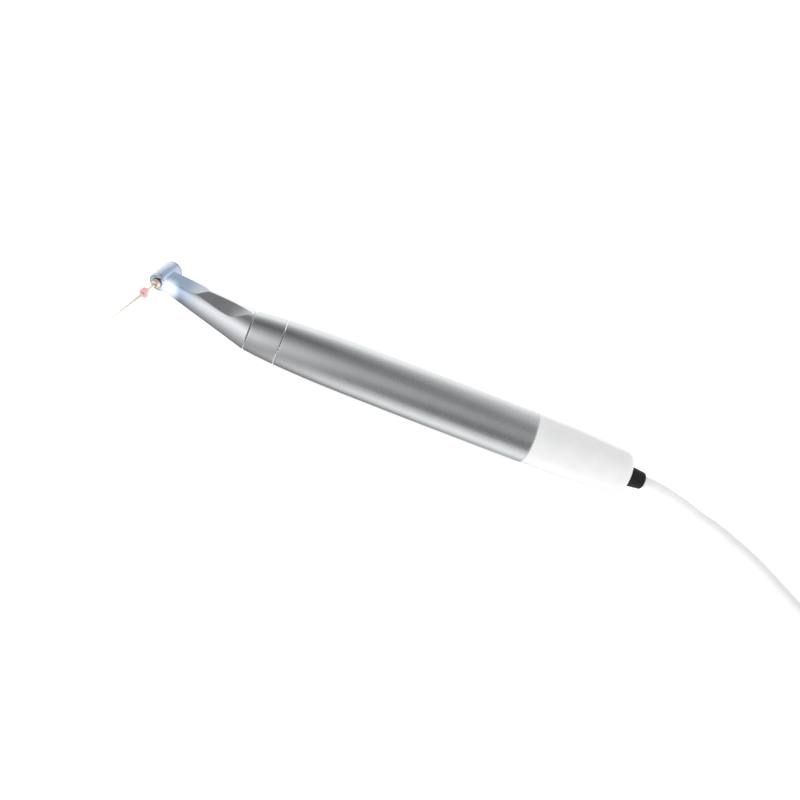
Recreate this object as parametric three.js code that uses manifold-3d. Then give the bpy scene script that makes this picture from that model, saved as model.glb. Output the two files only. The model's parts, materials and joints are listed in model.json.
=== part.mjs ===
// A corded endodontic motor handpiece with its contra-angle head and a rotary file, lying on its side.
// Millimetres, +Z up. It is designed about the barrel's axis: X = 0 is the neck's rear seam, +X runs back to
// the cord and +Y is the side that the head's button faces. The last lines set it on the table.
import * as THREE from "three";
import { mergeVertices } from "three/addons/utils/BufferGeometryUtils.js";
import Module from "manifold-3d";

const wasm = await Module();
wasm.setup();

// ---- Driving dimensions -------------------------------------------------------------------------

const seamGap = 0.3; // between outside shells that meet end to end
const seatGap = 0.1; // between small pieces that stand on each other
const runFit = 0.08; // radial clearance of what turns or slides
const pressFit = 0.05; // radial clearance of what is pressed in

const bendAngle = THREE.MathUtils.degToRad(16.4); // the neck's angle to the barrel
const bendX = -2.4; // where the neck's axis crosses the barrel's
const neckLength = 36.2; // from that crossing to the head's axis

const collarLength = 12.5; // the contra-angle's rear sleeve
const collarFrontRadius = 7.65;
const collarRearRadius = 8.9;
const barrelLength = 103.1;
const barrelRadius = 10.4; // at its rear, the widest place of the object
const shoulderLength = 24; // the barrel's quick taper behind the collar
const shoulderRadius = 9.9;
const barrelWall = 0.85;
const coverLength = 42.7;
const coverRearRadius = 9.05;
const coverRound = 4; // the rear rim's rounding
const coverWall = 1.6;
const reliefLength = 7.6;
const reliefRadius = 4.2;
const reliefTipRadius = 3.3;

const spigotRadius = 4.7; // the motor's nose, which the contra-angle is pushed over
const spigotLength = 10;
const flangeThickness = 4;
const lampRadius = 1;
const outputRadius = 1.4;
const outputBearingRadius = 2.7;

const gearModule = 0.35;
const sunTeeth = 12;
const planetTeeth = 12;
const ringTeeth = sunTeeth + 2 * planetTeeth;
const planetCount = 3;
const gearWidth = 4;
const planetPinRadius = 0.6;

const motorRadius = 8.8;
const motorLength = 52;
const motorWall = 0.6;
const magnetRadius = 4.3;
const airGap = 0.3;
const rotorShaftRadius = 1;
const motorBearingRadius = 3.2;
const bearingWidth = 2.2;

const boardLength = 28;
const boardWidth = 13;
const boardThickness = 1.2;

const neckTipRadius = 4.35; // beside the head
const facetTipHalf = 3.35; // half the neck's thickness there, between its two side facets
const facetRise = 0.135; // how fast the facets open towards the rear
const neckShaftRadius = 1.1;
const neckBearingRadius = 2.2;
const forkRadius = 2.6;
const crossPinRadius = 0.5;

const headRadius = 3.65;
const headBelow = 4.08; // from the neck's axis down to the head's lower face
const headHeight = 11.9;
const headWall = 0.65;
const chuckRadius = 1.65;
const shankRadius = 1.175;
const headGearTeeth = 16;
const pinionTeeth = 8;
const headGearRadius = 2.7; // pitch radius at the outer end of its teeth
const buttonRadius = 2.7;
const buttonTravel = 0.7;
const capHeight = 1.4;

const fileLength = 28.6; // below the head's lower face
const fileTipRadius = 0.13;
const fileTopRadius = 0.55;
const handleRadius = 1.6;
const handleLength = 2;
const stopperRadius = 1.85;
const stopperHeight = 2.2;
const stopperDrop = 8.2; // the stopper's middle, below the head's lower face

const cordDiameter = 4.7;
const cordLift = 0.12; // how far the cord's jacket stays above the table
const coilPlace = [117.6, -28]; // the coil's centre, from the strain relief's end
const coilColumns = 4;
const coilLayers = 2;
const coilOuterTurn = 32.1; // radius of the outermost turn's middle line
const tailStart = THREE.MathUtils.degToRad(215); // where the cord's last stretch starts on top of the coil
const tailArc = THREE.MathUtils.degToRad(85); // and how far round it lies there
const tieWidth = 9;
const tieThickness = 0.8;
const plugRadius = 7;
const plugLength = 15;
const plugNoseRadius = 5.2;
const plugNoseLength = 8.5;
const plugReliefLength = 9;
const plugPlace = [25, -16.5]; // the plug's cord end, from the coil's centre: it lies on the coil, along +Y
const contactCount = 6;

// ---- Sizes that follow from them ----------------------------------------------------------------

const table = -barrelRadius; // the surface it lies on, while the barrel's axis is Z = 0
const barrelFront = collarLength + seamGap / 2;
const barrelRear = collarLength + barrelLength;
const barrelBore = barrelRadius - barrelWall - 0.5;
const frontBore = collarRearRadius - barrelWall + 0.1;
const coverRear = barrelRear + coverLength;
const reliefEnd = coverRear + reliefLength;

const flangeFront = barrelFront + 0.35;
const spigotFront = flangeFront - spigotLength;
const flangeRear = flangeFront + flangeThickness;
const noseBore = outputBearingRadius + pressFit;
const flangeRadius = frontBore - runFit;
const pinCircle = (spigotRadius + flangeRadius) / 2; // the index pin and the lamp stand on it
const collarBore = spigotRadius + runFit + 0.05;

const sunPitch = (gearModule * sunTeeth) / 2;
const planetPitch = (gearModule * planetTeeth) / 2;
const ringPitch = (gearModule * ringTeeth) / 2;
const planetOrbit = sunPitch + planetPitch;
const carrierFront = flangeRear + 1.2;
const carrierRear = carrierFront + 1.8;
const gearsFront = carrierRear + 2 * seatGap;
const gearsRear = gearsFront + gearWidth;

const motorFront = gearsRear + 1.4;
const motorRear = motorFront + motorLength;
const magnetFront = motorFront + 8;
const magnetRear = motorRear - 9;

const forwardDirection = new THREE.Vector3(-Math.cos(bendAngle), Math.sin(bendAngle), 0);
const bendPoint = new THREE.Vector3(bendX, 0, 0);
const headCentre = bendPoint.clone().addScaledVector(forwardDirection, neckLength);

const headBottom = -headBelow; // heights in the head are measured from the neck's axis
const headTop = headBottom + headHeight;
const capBottom = headTop - capHeight;
const headBore = headRadius - headWall;
const pinionRadius = (headGearRadius * pinionTeeth) / headGearTeeth;
const fileTip = headBottom - fileLength;
const handleTop = headBottom - 2 * seatGap;
const handleBottom = handleTop - handleLength;

const cordRadius = cordDiameter / 2;
const cordLevel = table + cordRadius + cordLift; // the cord's middle line where it lies on the table
const coilOuter = coilOuterTurn + cordRadius;
const coilInner = coilOuterTurn - (coilColumns - 0.5) * cordDiameter;
const coilTop = table + coilLayers * cordDiameter;
const coilCentre = new THREE.Vector2(reliefEnd + coilPlace[0], coilPlace[1]);

// ---- Materials ----------------------------------------------------------------------------------

const finish = (color, roughness, metalness) =>
  new THREE.MeshStandardMaterial({ color, roughness, metalness });
const satinSilver = finish("#c9cbd0", 0.3, 0.9);
const steel = finish("#a9adb3", 0.35, 1);
const brass = finish("#c8a050", 0.35, 1);
const copper = finish("#b66a3c", 0.4, 1);
const magnetGrey = finish("#4a4d52", 0.4, 0.8);
const whitePlastic = finish("#eef0f2", 0.25, 0);
const greyPlastic = finish("#c9cdd2", 0.5, 0);
const blackRubber = finish("#17181a", 0.7, 0);
const cordGrey = finish("#d9dbdd", 0.5, 0);
const boardGreen = finish("#1d6b3c", 0.5, 0.1);
const chipBlack = finish("#151517", 0.5, 0);
const clearGlass = finish("#e8f4ff", 0.05, 0);
const lampWhite = finish("#f4faff", 0.3, 0);
const fileGold = finish("#d9b25a", 0.3, 1);
const stopperRed = finish("#d2485a", 0.5, 0);

// ---- Solids -------------------------------------------------------------------------------------

function toSolid(geometry) {
  const plain = geometry.clone();
  plain.deleteAttribute("normal");
  plain.deleteAttribute("uv");
  const merged = mergeVertices(plain, 1e-4);
  const triVerts = new Uint32Array(merged.index.array);
  const vertProperties = new Float32Array(merged.attributes.position.array);
  return new wasm.Manifold(new wasm.Mesh({ numProp: 3, vertProperties, triVerts }));
}

function toGeometry(solid) {
  const mesh = solid.getMesh();
  const geometry = new THREE.BufferGeometry();
  geometry.setAttribute("position", new THREE.BufferAttribute(mesh.vertProperties, 3));
  geometry.setIndex(new THREE.BufferAttribute(mesh.triVerts, 1));
  return geometry;
}

function join(first, ...others) {
  return toGeometry(others.reduce((solid, other) => solid.add(toSolid(other)), toSolid(first)));
}

function cut(first, ...tools) {
  return toGeometry(tools.reduce((solid, tool) => solid.subtract(toSolid(tool)), toSolid(first)));
}

function common(first, second) {
  return toGeometry(toSolid(first).intersect(toSolid(second)));
}

// A turned piece about local Y, from points [height, radius]. A profile clear of the axis closes on
// itself.
function turned(points, segments = 24) {
  const outline = points.map(([height, radius]) => new THREE.Vector2(radius, height));
  const onAxis = outline[0].x === 0 && outline.at(-1).x === 0;
  if (THREE.ShapeUtils.area(outline) < 0) outline.reverse();
  if (!onAxis) outline.push(outline[0].clone());
  return new THREE.LatheGeometry(outline, segments);
}

const rod = (from, to, radius, segments) =>
  turned([[from, 0], [from, radius], [to, radius], [to, 0]], segments);

const ring = (from, to, inner, outer, segments) =>
  turned([[from, inner], [from, outer], [to, outer], [to, inner]], segments);

function block(fromX, toX, fromY, toY, fromZ, toZ) {
  const box = new THREE.BoxGeometry(toX - fromX, toY - fromY, toZ - fromZ);
  return box.translate((fromX + toX) / 2, (fromY + toY) / 2, (fromZ + toZ) / 2);
}

const discShape = (radius, sides) =>
  new THREE.Shape(
    Array.from({ length: sides }, (_, i) => {
      const angle = (2 * Math.PI * i) / sides;
      return new THREE.Vector2(radius * Math.cos(angle), radius * Math.sin(angle));
    }),
  );

function tube(curve, radius, sides, steps) {
  const section = discShape(radius, sides);
  return new THREE.ExtrudeGeometry(section, { extrudePath: curve, steps, bevelEnabled: false });
}

// ---- Gears --------------------------------------------------------------------------------------

const pressureAngle = THREE.MathUtils.degToRad(25);
const involute = (angle) => Math.tan(angle) - angle;

// Points of a spur gear's outline; a negative backlash gives the cutter that leaves an internal gear's teeth.
function gearOutline(teeth, addendum, dedendum, backlash) {
  const pitch = (gearModule * teeth) / 2;
  const base = pitch * Math.cos(pressureAngle);
  const halfAtPitch = Math.PI / (2 * teeth) - backlash / pitch + involute(pressureAngle);
  const radii = [pitch - dedendum, pitch, pitch + addendum];
  const flank = radii.map((radius) => {
    const pressure = radius > base ? Math.acos(base / radius) : 0;
    return { radius, half: halfAtPitch - involute(pressure) };
  });
  const points = [];
  for (let tooth = 0; tooth < teeth; tooth++) {
    const middle = (2 * Math.PI * tooth) / teeth;
    const side = (sign) => ({ radius, half }) =>
      new THREE.Vector2(radius * Math.cos(middle + sign * half), radius * Math.sin(middle + sign * half));
    points.push(...flank.map(side(-1)), ...flank.toReversed().map(side(1)));
  }
  return points;
}

// An extruded outline whose length runs along local Y, as a turned piece's does.
function slab(outline, from, to) {
  const geometry = new THREE.ExtrudeGeometry(outline, { depth: to - from, bevelEnabled: false });
  return geometry.rotateX(-Math.PI / 2).translate(0, from, 0);
}

const backlash = 0.045;
const addendum = 0.8 * gearModule;

function spurGear(teeth, boreRadius, from, to) {
  const blank = slab(new THREE.Shape(gearOutline(teeth, addendum, gearModule, backlash)), from, to);
  return cut(blank, rod(from - 1, to + 1, boreRadius, 12));
}

// A straight bevel gear about local Y: every edge of its teeth runs to the apex at the origin.
function bevelTeeth(teeth, pitchRadius, coneAngle, near, far) {
  const coneDistance = pitchRadius / Math.sin(coneAngle);
  const toothModule = (2 * pitchRadius) / teeth;
  const level = (height, offset) => height * Math.tan(coneAngle + Math.atan(offset / coneDistance));
  const offsets = [-toothModule, 0, 0.75 * toothModule];
  const tangent = Math.tan(THREE.MathUtils.degToRad(22));
  const halves = offsets.map((offset) => {
    const thickness = (Math.PI * toothModule) / 4 - offset * tangent - 0.06;
    return thickness / (pitchRadius + offset * Math.cos(coneAngle));
  });
  const section = (height) =>
    Array.from({ length: teeth }, (_, tooth) => {
      const middle = (2 * Math.PI * tooth) / teeth;
      const point = (sign, i) => {
        const radius = level(height, offsets[i]);
        const angle = middle + sign * halves[i];
        return new THREE.Vector3(radius * Math.sin(angle), height, radius * Math.cos(angle));
      };
      return [point(-1, 0), point(-1, 1), point(-1, 2), point(1, 2), point(1, 1), point(1, 0)];
    }).flat();
  const bottom = section(near);
  const top = section(far);
  const count = bottom.length;
  const vertices = [...bottom, ...top, new THREE.Vector3(0, near, 0), new THREE.Vector3(0, far, 0)];
  const faces = [];
  for (let i = 0; i < count; i++) {
    const next = (i + 1) % count;
    faces.push(i, next, count + next, i, count + next, count + i);
    faces.push(2 * count, next, i, 2 * count + 1, count + i, count + next);
  }
  const geometry = new THREE.BufferGeometry().setFromPoints(vertices);
  geometry.setIndex(faces);
  return geometry;
}

// ---- The assembly and its frames ----------------------------------------------------------------

const assembly = new THREE.Group();

// Each of these groups has its local Y on the axis that its pieces turn about.
const barrelFrame = new THREE.Group();
barrelFrame.rotation.z = -Math.PI / 2; // local Y is +X
const neckFrame = new THREE.Group();
neckFrame.position.copy(bendPoint);
neckFrame.rotation.z = Math.PI / 2 - bendAngle; // local Y runs forward along the neck
const headFrame = new THREE.Group();
headFrame.position.copy(headCentre);
headFrame.rotation.z = -bendAngle; // local Y points out of the button, local X back along the neck
assembly.add(barrelFrame, neckFrame, headFrame);
assembly.updateMatrixWorld(true);

function add(frame, name, geometry, material) {
  const mesh = new THREE.Mesh(geometry, material);
  mesh.name = name;
  frame.add(mesh);
  return mesh;
}

const from = (frame, geometry) => geometry.clone().applyMatrix4(frame.matrixWorld);

// ---- Motor handpiece: shells --------------------------------------------------------------------

const barrelOutline = [
  [barrelFront, collarRearRadius + 0.05],
  [collarLength + shoulderLength * 0.45, collarRearRadius + (shoulderRadius - collarRearRadius) * 0.72],
  [collarLength + shoulderLength, shoulderRadius],
  [collarLength + barrelLength * 0.5, barrelRadius - 0.12],
  [barrelRear - 8, barrelRadius],
  [barrelRear - seamGap / 2, barrelRadius],
];
add(
  barrelFrame,
  "barrel_shell",
  turned([
    ...barrelOutline,
    [barrelRear - seamGap / 2, barrelBore],
    [motorFront - 0.6, barrelBore],
    [motorFront - 0.6, frontBore],
    [barrelFront, frontBore],
  ]),
  satinSilver,
);

const sleeveFront = barrelRear - 7;
const sleeveRadius = barrelBore - pressFit;
const coverBore = sleeveRadius - coverWall;
const coverFront = barrelRear + seamGap / 2;
const coverWallFront = coverRear - 3.6;
const wallBore = reliefRadius - 0.85;
add(
  barrelFrame,
  "rear_cover",
  turned([
    [sleeveFront, sleeveRadius],
    [coverFront, sleeveRadius],
    [coverFront, barrelRadius],
    [barrelRear + coverLength * 0.35, barrelRadius - 0.15],
    [barrelRear + coverLength * 0.7, barrelRadius - 0.7],
    [coverRear - coverRound, coverRearRadius],
    [coverRear - coverRound * 0.4, coverRearRadius - coverRound * 0.32],
    [coverRear, coverRearRadius - coverRound],
    [coverRear, wallBore],
    [coverWallFront, wallBore],
    [coverWallFront, coverBore - 1.5],
    [coverRear - 9, coverBore],
    [sleeveFront, coverBore],
  ]),
  whitePlastic,
);

const cordBore = cordRadius + runFit + 0.05;
add(
  barrelFrame,
  "strain_relief",
  turned(
    [
      [coverWallFront - 2, reliefRadius + 0.4],
      [coverWallFront - seatGap, reliefRadius + 0.4],
      [coverWallFront - seatGap, wallBore - seatGap],
      [coverRear + seatGap, wallBore - seatGap],
      [coverRear + seatGap, reliefRadius],
      [coverRear + reliefLength * 0.6, reliefRadius - 0.35],
      [reliefEnd, reliefTipRadius],
      [reliefEnd, cordBore],
      [coverWallFront - 2, cordBore],
    ],
    24,
  ),
  blackRubber,
);

add(barrelFrame, "cable_clamp", ring(coverWallFront - 6, coverWallFront - 2.2, cordBore, 5.2, 24), steel);
add(
  barrelFrame,
  "rear_seal_ring",
  ring(sleeveFront - 1.3, sleeveFront - seatGap, sleeveRadius - 1, sleeveRadius, 24),
  blackRubber,
);

// ---- Motor handpiece: nose ----------------------------------------------------------------------

const grooveDepth = 0.5;
const ringWidth = 1;
const ringStations = [spigotFront + 2.2, spigotFront + 6.6];
const noseProfile = [
  [spigotFront, noseBore],
  [spigotFront, spigotRadius - 0.5],
  [spigotFront + 0.5, spigotRadius],
];
for (const station of ringStations) {
  noseProfile.push([station, spigotRadius], [station, spigotRadius - grooveDepth]);
  noseProfile.push([station + ringWidth, spigotRadius - grooveDepth], [station + ringWidth, spigotRadius]);
}
noseProfile.push([flangeFront, spigotRadius], [flangeFront, flangeRadius]);
noseProfile.push([flangeRear, flangeRadius], [flangeRear, noseBore]);

const pinLength = 5.5;
const pinRadius = 0.6;
const pinRear = flangeFront + 2;
const lampDepth = 1.4;
// The pin stands on the button side of the axis and the lamp on the file side.
const pinHole = (clearance) =>
  rod(pinRear - pinLength - 1, pinRear, pinRadius + clearance, 16).translate(-pinCircle, 0, 0);
const lampSeat = rod(flangeFront - 1, flangeFront + lampDepth, lampRadius + pressFit, 16);
lampSeat.translate(pinCircle, 0, 0);
add(barrelFrame, "motor_nose", cut(turned(noseProfile), pinHole(pressFit), lampSeat), steel);
add(
  barrelFrame,
  "index_pin",
  rod(pinRear - pinLength, pinRear - seatGap, pinRadius, 16).translate(-pinCircle, 0, 0),
  steel,
);
add(
  barrelFrame,
  "lamp_module",
  rod(flangeFront, flangeFront + lampDepth - seatGap, lampRadius, 16).translate(pinCircle, 0, 0),
  lampWhite,
);
ringStations.forEach((station, i) => {
  const inner = spigotRadius - grooveDepth + pressFit;
  const seal = ring(station + seatGap, station + ringWidth - seatGap, inner, spigotRadius + 0.05, 24);
  add(barrelFrame, `nose_seal_${i + 1}`, seal, blackRubber);
});

const outputBearingFront = spigotFront + 5.8;
add(
  barrelFrame,
  "output_bearing",
  ring(
    outputBearingFront,
    outputBearingFront + bearingWidth,
    outputRadius + pressFit,
    outputBearingRadius,
    16,
  ),
  steel,
);

// ---- Gearbox ------------------------------------------------------------------------------------

// Turned by half a tooth, so that a tooth of the ring stands where each planet has its gap.
const ringCutter = slab(
  new THREE.Shape(gearOutline(ringTeeth, gearModule, addendum, -backlash)),
  flangeRear - 1,
  gearsRear + 2,
).rotateY(Math.PI / ringTeeth);
add(
  barrelFrame,
  "ring_gear",
  cut(rod(flangeRear + seatGap, gearsRear + 0.6, flangeRadius), ringCutter),
  steel,
);

const tongueThickness = 1.1;
const tongueLength = 2;
const tongueWidth = 3.6;
const shaftFront = outputBearingFront - 0.4;
const tongue = block(
  -tongueWidth / 2, tongueWidth / 2,
  shaftFront - tongueLength, shaftFront + 0.3,
  -tongueThickness / 2, tongueThickness / 2,
);
const carrierPieces = [rod(shaftFront, carrierFront + 0.5, outputRadius, 20), tongue];
for (let i = 0; i < planetCount; i++) {
  const pin = rod(carrierRear - 0.5, gearsRear - 0.3, planetPinRadius, 10).translate(planetOrbit, 0, 0);
  carrierPieces.push(pin.rotateY((2 * Math.PI * i) / planetCount));
}
add(
  barrelFrame,
  "planet_carrier",
  join(rod(carrierFront, carrierRear, ringPitch - addendum - 0.35), ...carrierPieces),
  steel,
);

const planetBlank = spurGear(planetTeeth, planetPinRadius + runFit, gearsFront, gearsRear - 0.2);
for (let i = 0; i < planetCount; i++) {
  // Half a tooth round, so that a gap faces the sun's tooth and the ring's.
  const planet = planetBlank.clone().rotateY(Math.PI / planetTeeth).translate(planetOrbit, 0, 0);
  add(barrelFrame, `planet_gear_${i + 1}`, planet.rotateY((2 * Math.PI * i) / planetCount), steel);
}
const sunShaftRadius = 0.75;
const sunBlank = spurGear(sunTeeth, sunShaftRadius + pressFit, gearsFront, gearsRear - 0.2);
add(barrelFrame, "sun_gear", sunBlank, brass);

// ---- Motor --------------------------------------------------------------------------------------

const motorBore = motorRadius - motorWall;
const bossRadius = motorBearingRadius + 0.9;
const frontWall = motorFront + 1.2;
const frontBoss = frontWall + bearingWidth + 0.4;
add(
  barrelFrame,
  "motor_can",
  turned([
    [motorFront, rotorShaftRadius + 0.5],
    [motorFront, motorRadius],
    [motorRear, motorRadius],
    [motorRear, motorBore],
    [frontWall, motorBore],
    [frontWall, bossRadius],
    [frontBoss, bossRadius],
    [frontBoss, motorBearingRadius + pressFit],
    [frontWall, motorBearingRadius + pressFit],
    [frontWall, rotorShaftRadius + 0.5],
  ]),
  magnetGrey,
);

const capFront = motorRear - 2;
const rearBearingFront = capFront - bearingWidth - 0.2;
add(
  barrelFrame,
  "motor_end_cap",
  turned([
    [rearBearingFront - 0.2, motorBearingRadius + pressFit],
    [rearBearingFront - 0.2, bossRadius],
    [capFront, bossRadius],
    [capFront, motorBore - pressFit],
    [motorRear - 0.4, motorBore - pressFit],
    [motorRear - 0.4, rotorShaftRadius + 0.5],
    [capFront, rotorShaftRadius + 0.5],
    [capFront, motorBearingRadius + pressFit],
  ]),
  greyPlastic,
);
const motorBearing = (start) =>
  ring(start, start + bearingWidth, rotorShaftRadius + pressFit, motorBearingRadius, 16);
add(barrelFrame, "motor_bearing_front", motorBearing(frontWall + seatGap), steel);
add(barrelFrame, "motor_bearing_rear", motorBearing(capFront - bearingWidth - seatGap), steel);

const statorBore = magnetRadius + airGap;
add(
  barrelFrame,
  "stator_winding",
  turned([
    [magnetFront - 2.5, statorBore + 0.6],
    [magnetFront - 2.5, motorBore - 0.9],
    [magnetFront, motorBore - pressFit],
    [magnetRear, motorBore - pressFit],
    [magnetRear + 2.5, motorBore - 0.9],
    [magnetRear + 2.5, statorBore + 0.6],
    [magnetRear, statorBore],
    [magnetFront, statorBore],
  ]),
  copper,
);

add(
  barrelFrame,
  "rotor_shaft",
  turned(
    [
      [gearsFront, 0],
      [gearsFront, sunShaftRadius],
      [motorFront - 0.4, sunShaftRadius],
      [motorFront, rotorShaftRadius],
      [capFront + 1, rotorShaftRadius],
      [capFront + 1, 0],
    ],
    20,
  ),
  steel,
);
add(
  barrelFrame,
  "rotor_magnet",
  ring(magnetFront, magnetRear, rotorShaftRadius + pressFit, magnetRadius, 24),
  magnetGrey,
);

// ---- Electronics --------------------------------------------------------------------------------

const boardFront = motorRear + 5;
const boardRear = boardFront + boardLength;
add(
  assembly,
  "driver_board",
  block(boardFront, boardRear, -boardWidth / 2, boardWidth / 2, -boardThickness / 2, boardThickness / 2),
  boardGreen,
);
const socketBottom = boardThickness / 2 + seatGap;
const socketHalf = 3.5;
add(
  assembly,
  "board_socket",
  block(boardRear - 6, boardRear - 0.5, -socketHalf, socketHalf, socketBottom, socketBottom + 2.6),
  greyPlastic,
);
for (let i = 0; i < 2; i++) {
  const chipFront = boardFront + 4 + 8 * i;
  const chip = block(chipFront, chipFront + 4, -2, 2, socketBottom, socketBottom + 0.9);
  add(assembly, `driver_chip_${i + 1}`, chip, chipBlack);
}

// ---- Contra-angle: collar and neck --------------------------------------------------------------

const shaftBearingFront = seamGap + 0.2;
const shaftBearingRear = shaftBearingFront + 1.8;
const frontSeat = spigotFront - 0.3;
const collarFront = seamGap / 2;
const collarRear = collarLength - seamGap / 2;
const guideRadius = 0.7;
const lensRadius = 1;
const lensAlong = neckLength - headRadius - seamGap - lensRadius - 0.15;
const inNeck = (out, along) => new THREE.Vector3(out, along, 0).applyMatrix4(neckFrame.matrixWorld);

// The light guide runs straight through the collar's wall, then along the neck's underside to the lens.
const guideRear = flangeFront - 0.5;
const guideFront = (collarBore + collarFrontRadius) / 2;
const guideLine = new THREE.CatmullRomCurve3([
  new THREE.Vector3(guideRear, -pinCircle, 0),
  new THREE.Vector3(4, -guideFront, 0),
  inNeck(-5.2, 5),
  inNeck(-3.5, 24),
  inNeck(-3.4, lensAlong - lensRadius - seatGap),
]);
const guideHole = tube(guideLine, guideRadius + runFit, 8, 12);
add(assembly, "light_guide", tube(guideLine, guideRadius, 8, 12), clearGlass);

const collarShell = turned([
  [collarFront, collarFrontRadius + 0.05],
  [collarLength * 0.4, collarFrontRadius + (collarRearRadius - collarFrontRadius) * 0.5],
  [collarRear, collarRearRadius],
  [collarRear, collarBore],
  [frontSeat, collarBore],
  [frontSeat, 4.2],
  [collarFront, 4.2],
]);
add(
  assembly,
  "collar",
  cut(from(barrelFrame, collarShell), from(barrelFrame, pinHole(runFit + 0.05)), guideHole),
  satinSilver,
);
add(
  barrelFrame,
  "rear_shaft_bearing",
  ring(shaftBearingFront, shaftBearingRear, outputRadius + pressFit, 4.2 - pressFit, 24),
  steel,
);

const neckEnd = neckLength - headRadius; // where the head's wall crosses the neck's axis
const neckRadius = (along) =>
  neckTipRadius + ((collarFrontRadius - neckTipRadius) * (neckEnd - along)) / neckEnd;
const neckShell = turned([
  [-5, 0],
  [-5, neckRadius(-5)],
  [neckLength, neckRadius(neckLength)],
  [neckLength, 0],
]);
const facetHalf = (along) => facetTipHalf + facetRise * (neckEnd - along);
// What the two side facets leave: a wedge that opens towards the rear.
const wedgeRear = -6;
const wedgeFront = neckLength + 1;
const wedgeHeight = 30;
const facetWedge = new THREE.ExtrudeGeometry(
  new THREE.Shape([
    new THREE.Vector2(wedgeRear, -facetHalf(wedgeRear)),
    new THREE.Vector2(wedgeFront, -facetHalf(wedgeFront)),
    new THREE.Vector2(wedgeFront, facetHalf(wedgeFront)),
    new THREE.Vector2(wedgeRear, facetHalf(wedgeRear)),
  ]),
  { depth: wedgeHeight, bevelEnabled: false },
);
facetWedge.translate(0, 0, -wedgeHeight / 2).rotateZ(Math.PI / 2).rotateY(Math.PI / 2);
const behindSeam = block(-seamGap / 2, 20, -20, 20, -20, 20);
const forkRoom = rod(-5.6, 2, forkRadius + 0.5, 24);
const neckBore = rod(0, neckLength, neckBearingRadius + pressFit, 24);
const lensSeat = rod(2.4, 8, lensRadius + pressFit, 16).rotateZ(Math.PI / 2).translate(0, lensAlong, 0);
const headRoom = rod(headBottom - 1, headTop + 1, headRadius + seamGap);
add(
  assembly,
  "neck_housing",
  cut(
    from(neckFrame, common(neckShell, facetWedge)),
    behindSeam,
    from(barrelFrame, forkRoom),
    from(neckFrame, neckBore),
    from(neckFrame, lensSeat),
    from(headFrame, headRoom),
    guideHole,
  ),
  satinSilver,
);
add(
  neckFrame,
  "light_lens",
  rod(2.5, 4.5, lensRadius, 16).rotateZ(Math.PI / 2).translate(0, lensAlong, 0),
  clearGlass,
);
const neckBearing = (start) =>
  ring(start, start + 1.8, neckShaftRadius + pressFit, neckBearingRadius, 16);
const rearBearingAt = 6;
const frontBearingAt = 28;
add(neckFrame, "neck_bearing_rear", neckBearing(rearBearingAt), steel);
add(neckFrame, "neck_bearing_front", neckBearing(frontBearingAt), steel);

// ---- Contra-angle: shafts -----------------------------------------------------------------------

const forkReach = 1.4; // how far the fork's ears run on past the cross pin
const forkFront = bendX - forkReach;
const forkSlotEnd = bendX + 1.3;
const forkRear = forkSlotEnd + 0.9;
const slotWidth = 2 * crossPinRadius + 0.5;
const rearShaftRear = shaftFront - seatGap;
const slotFront = rearShaftRear - tongueLength - 0.2;
const rearShaftBlank = turned(
  [
    [forkFront, forkRadius - 0.8],
    [forkFront, forkRadius],
    [forkRear, forkRadius],
    [forkRear, outputRadius],
    [shaftBearingRear + 0.3, outputRadius],
    [shaftBearingRear + 0.3, noseBore - 0.45],
    [rearShaftRear, noseBore - 0.45],
    [rearShaftRear, 0],
    [forkSlotEnd, 0],
    [forkSlotEnd, forkRadius - 0.8],
  ],
  24,
);
const forkSlot = block(-slotWidth / 2, slotWidth / 2, forkFront - 1, forkSlotEnd, -5, 5);
const tongueRoom = tongueThickness / 2 + 0.2;
const tongueSlot = block(-5, 5, slotFront, rearShaftRear + 1, -tongueRoom, tongueRoom);
add(barrelFrame, "rear_shaft", cut(rearShaftBlank, forkSlot, tongueSlot), steel);

const coneAngle = Math.atan(pinionTeeth / headGearTeeth); // the pinion's pitch cone
const pinionOuter = headGearRadius; // distance of its large end from the head's axis
const pinionInner = pinionOuter * 0.68;
const crossPin = rod(-forkRadius + 0.15, forkRadius - 0.15, crossPinRadius, 14).rotateX(Math.PI / 2);
const shaftBody = turned(
  [
    [-0.75, 0],
    [-0.75, 0.8],
    [4, 0.8],
    [4.6, neckShaftRadius],
    [neckLength - pinionOuter - 0.1, neckShaftRadius],
    [neckLength - pinionOuter - 0.1, 0],
  ],
  20,
);
add(neckFrame, "neck_shaft", join(shaftBody, crossPin), steel);
const pinion = bevelTeeth(pinionTeeth, pinionRadius, coneAngle, pinionInner, pinionOuter);
// Turned to face back from the head's axis, with a tooth towards the head gear.
pinion.rotateY(Math.PI / 2).rotateX(Math.PI).translate(0, neckLength, 0);
add(neckFrame, "bevel_pinion", pinion, brass);

// ---- Contra-angle: head -------------------------------------------------------------------------

const headFloor = headBottom + headWall;
const chuckHole = chuckRadius + 0.2;
const pinionHole = rod(0, 6, pinionRadius + 0.45, 20).rotateZ(-Math.PI / 2);
add(
  headFrame,
  "head_housing",
  cut(
    turned([
      [headBottom, chuckHole],
      [headBottom, headRadius - 0.5],
      [headBottom + 0.5, headRadius],
      [capBottom - seatGap, headRadius],
      [capBottom - seatGap, headBore],
      [headFloor, headBore],
      [headFloor, chuckHole],
    ]),
    pinionHole,
  ),
  satinSilver,
);
const headBearing = (start) => ring(start, start + 1, chuckRadius + pressFit, headBore - pressFit, 24);
const lowerBearingAt = headFloor + seatGap;
const gearTop = 3;
const upperBearingAt = gearTop + 0.2;
add(headFrame, "head_bearing_lower", headBearing(lowerBearingAt), steel);
add(headFrame, "head_bearing_upper", headBearing(upperBearingAt), steel);
const chuckTop = upperBearingAt + 1.2;
const chuckBore = shankRadius + pressFit;
add(headFrame, "chuck_sleeve", ring(headBottom + 0.1, chuckTop, chuckBore, chuckRadius, 24), steel);

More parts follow.
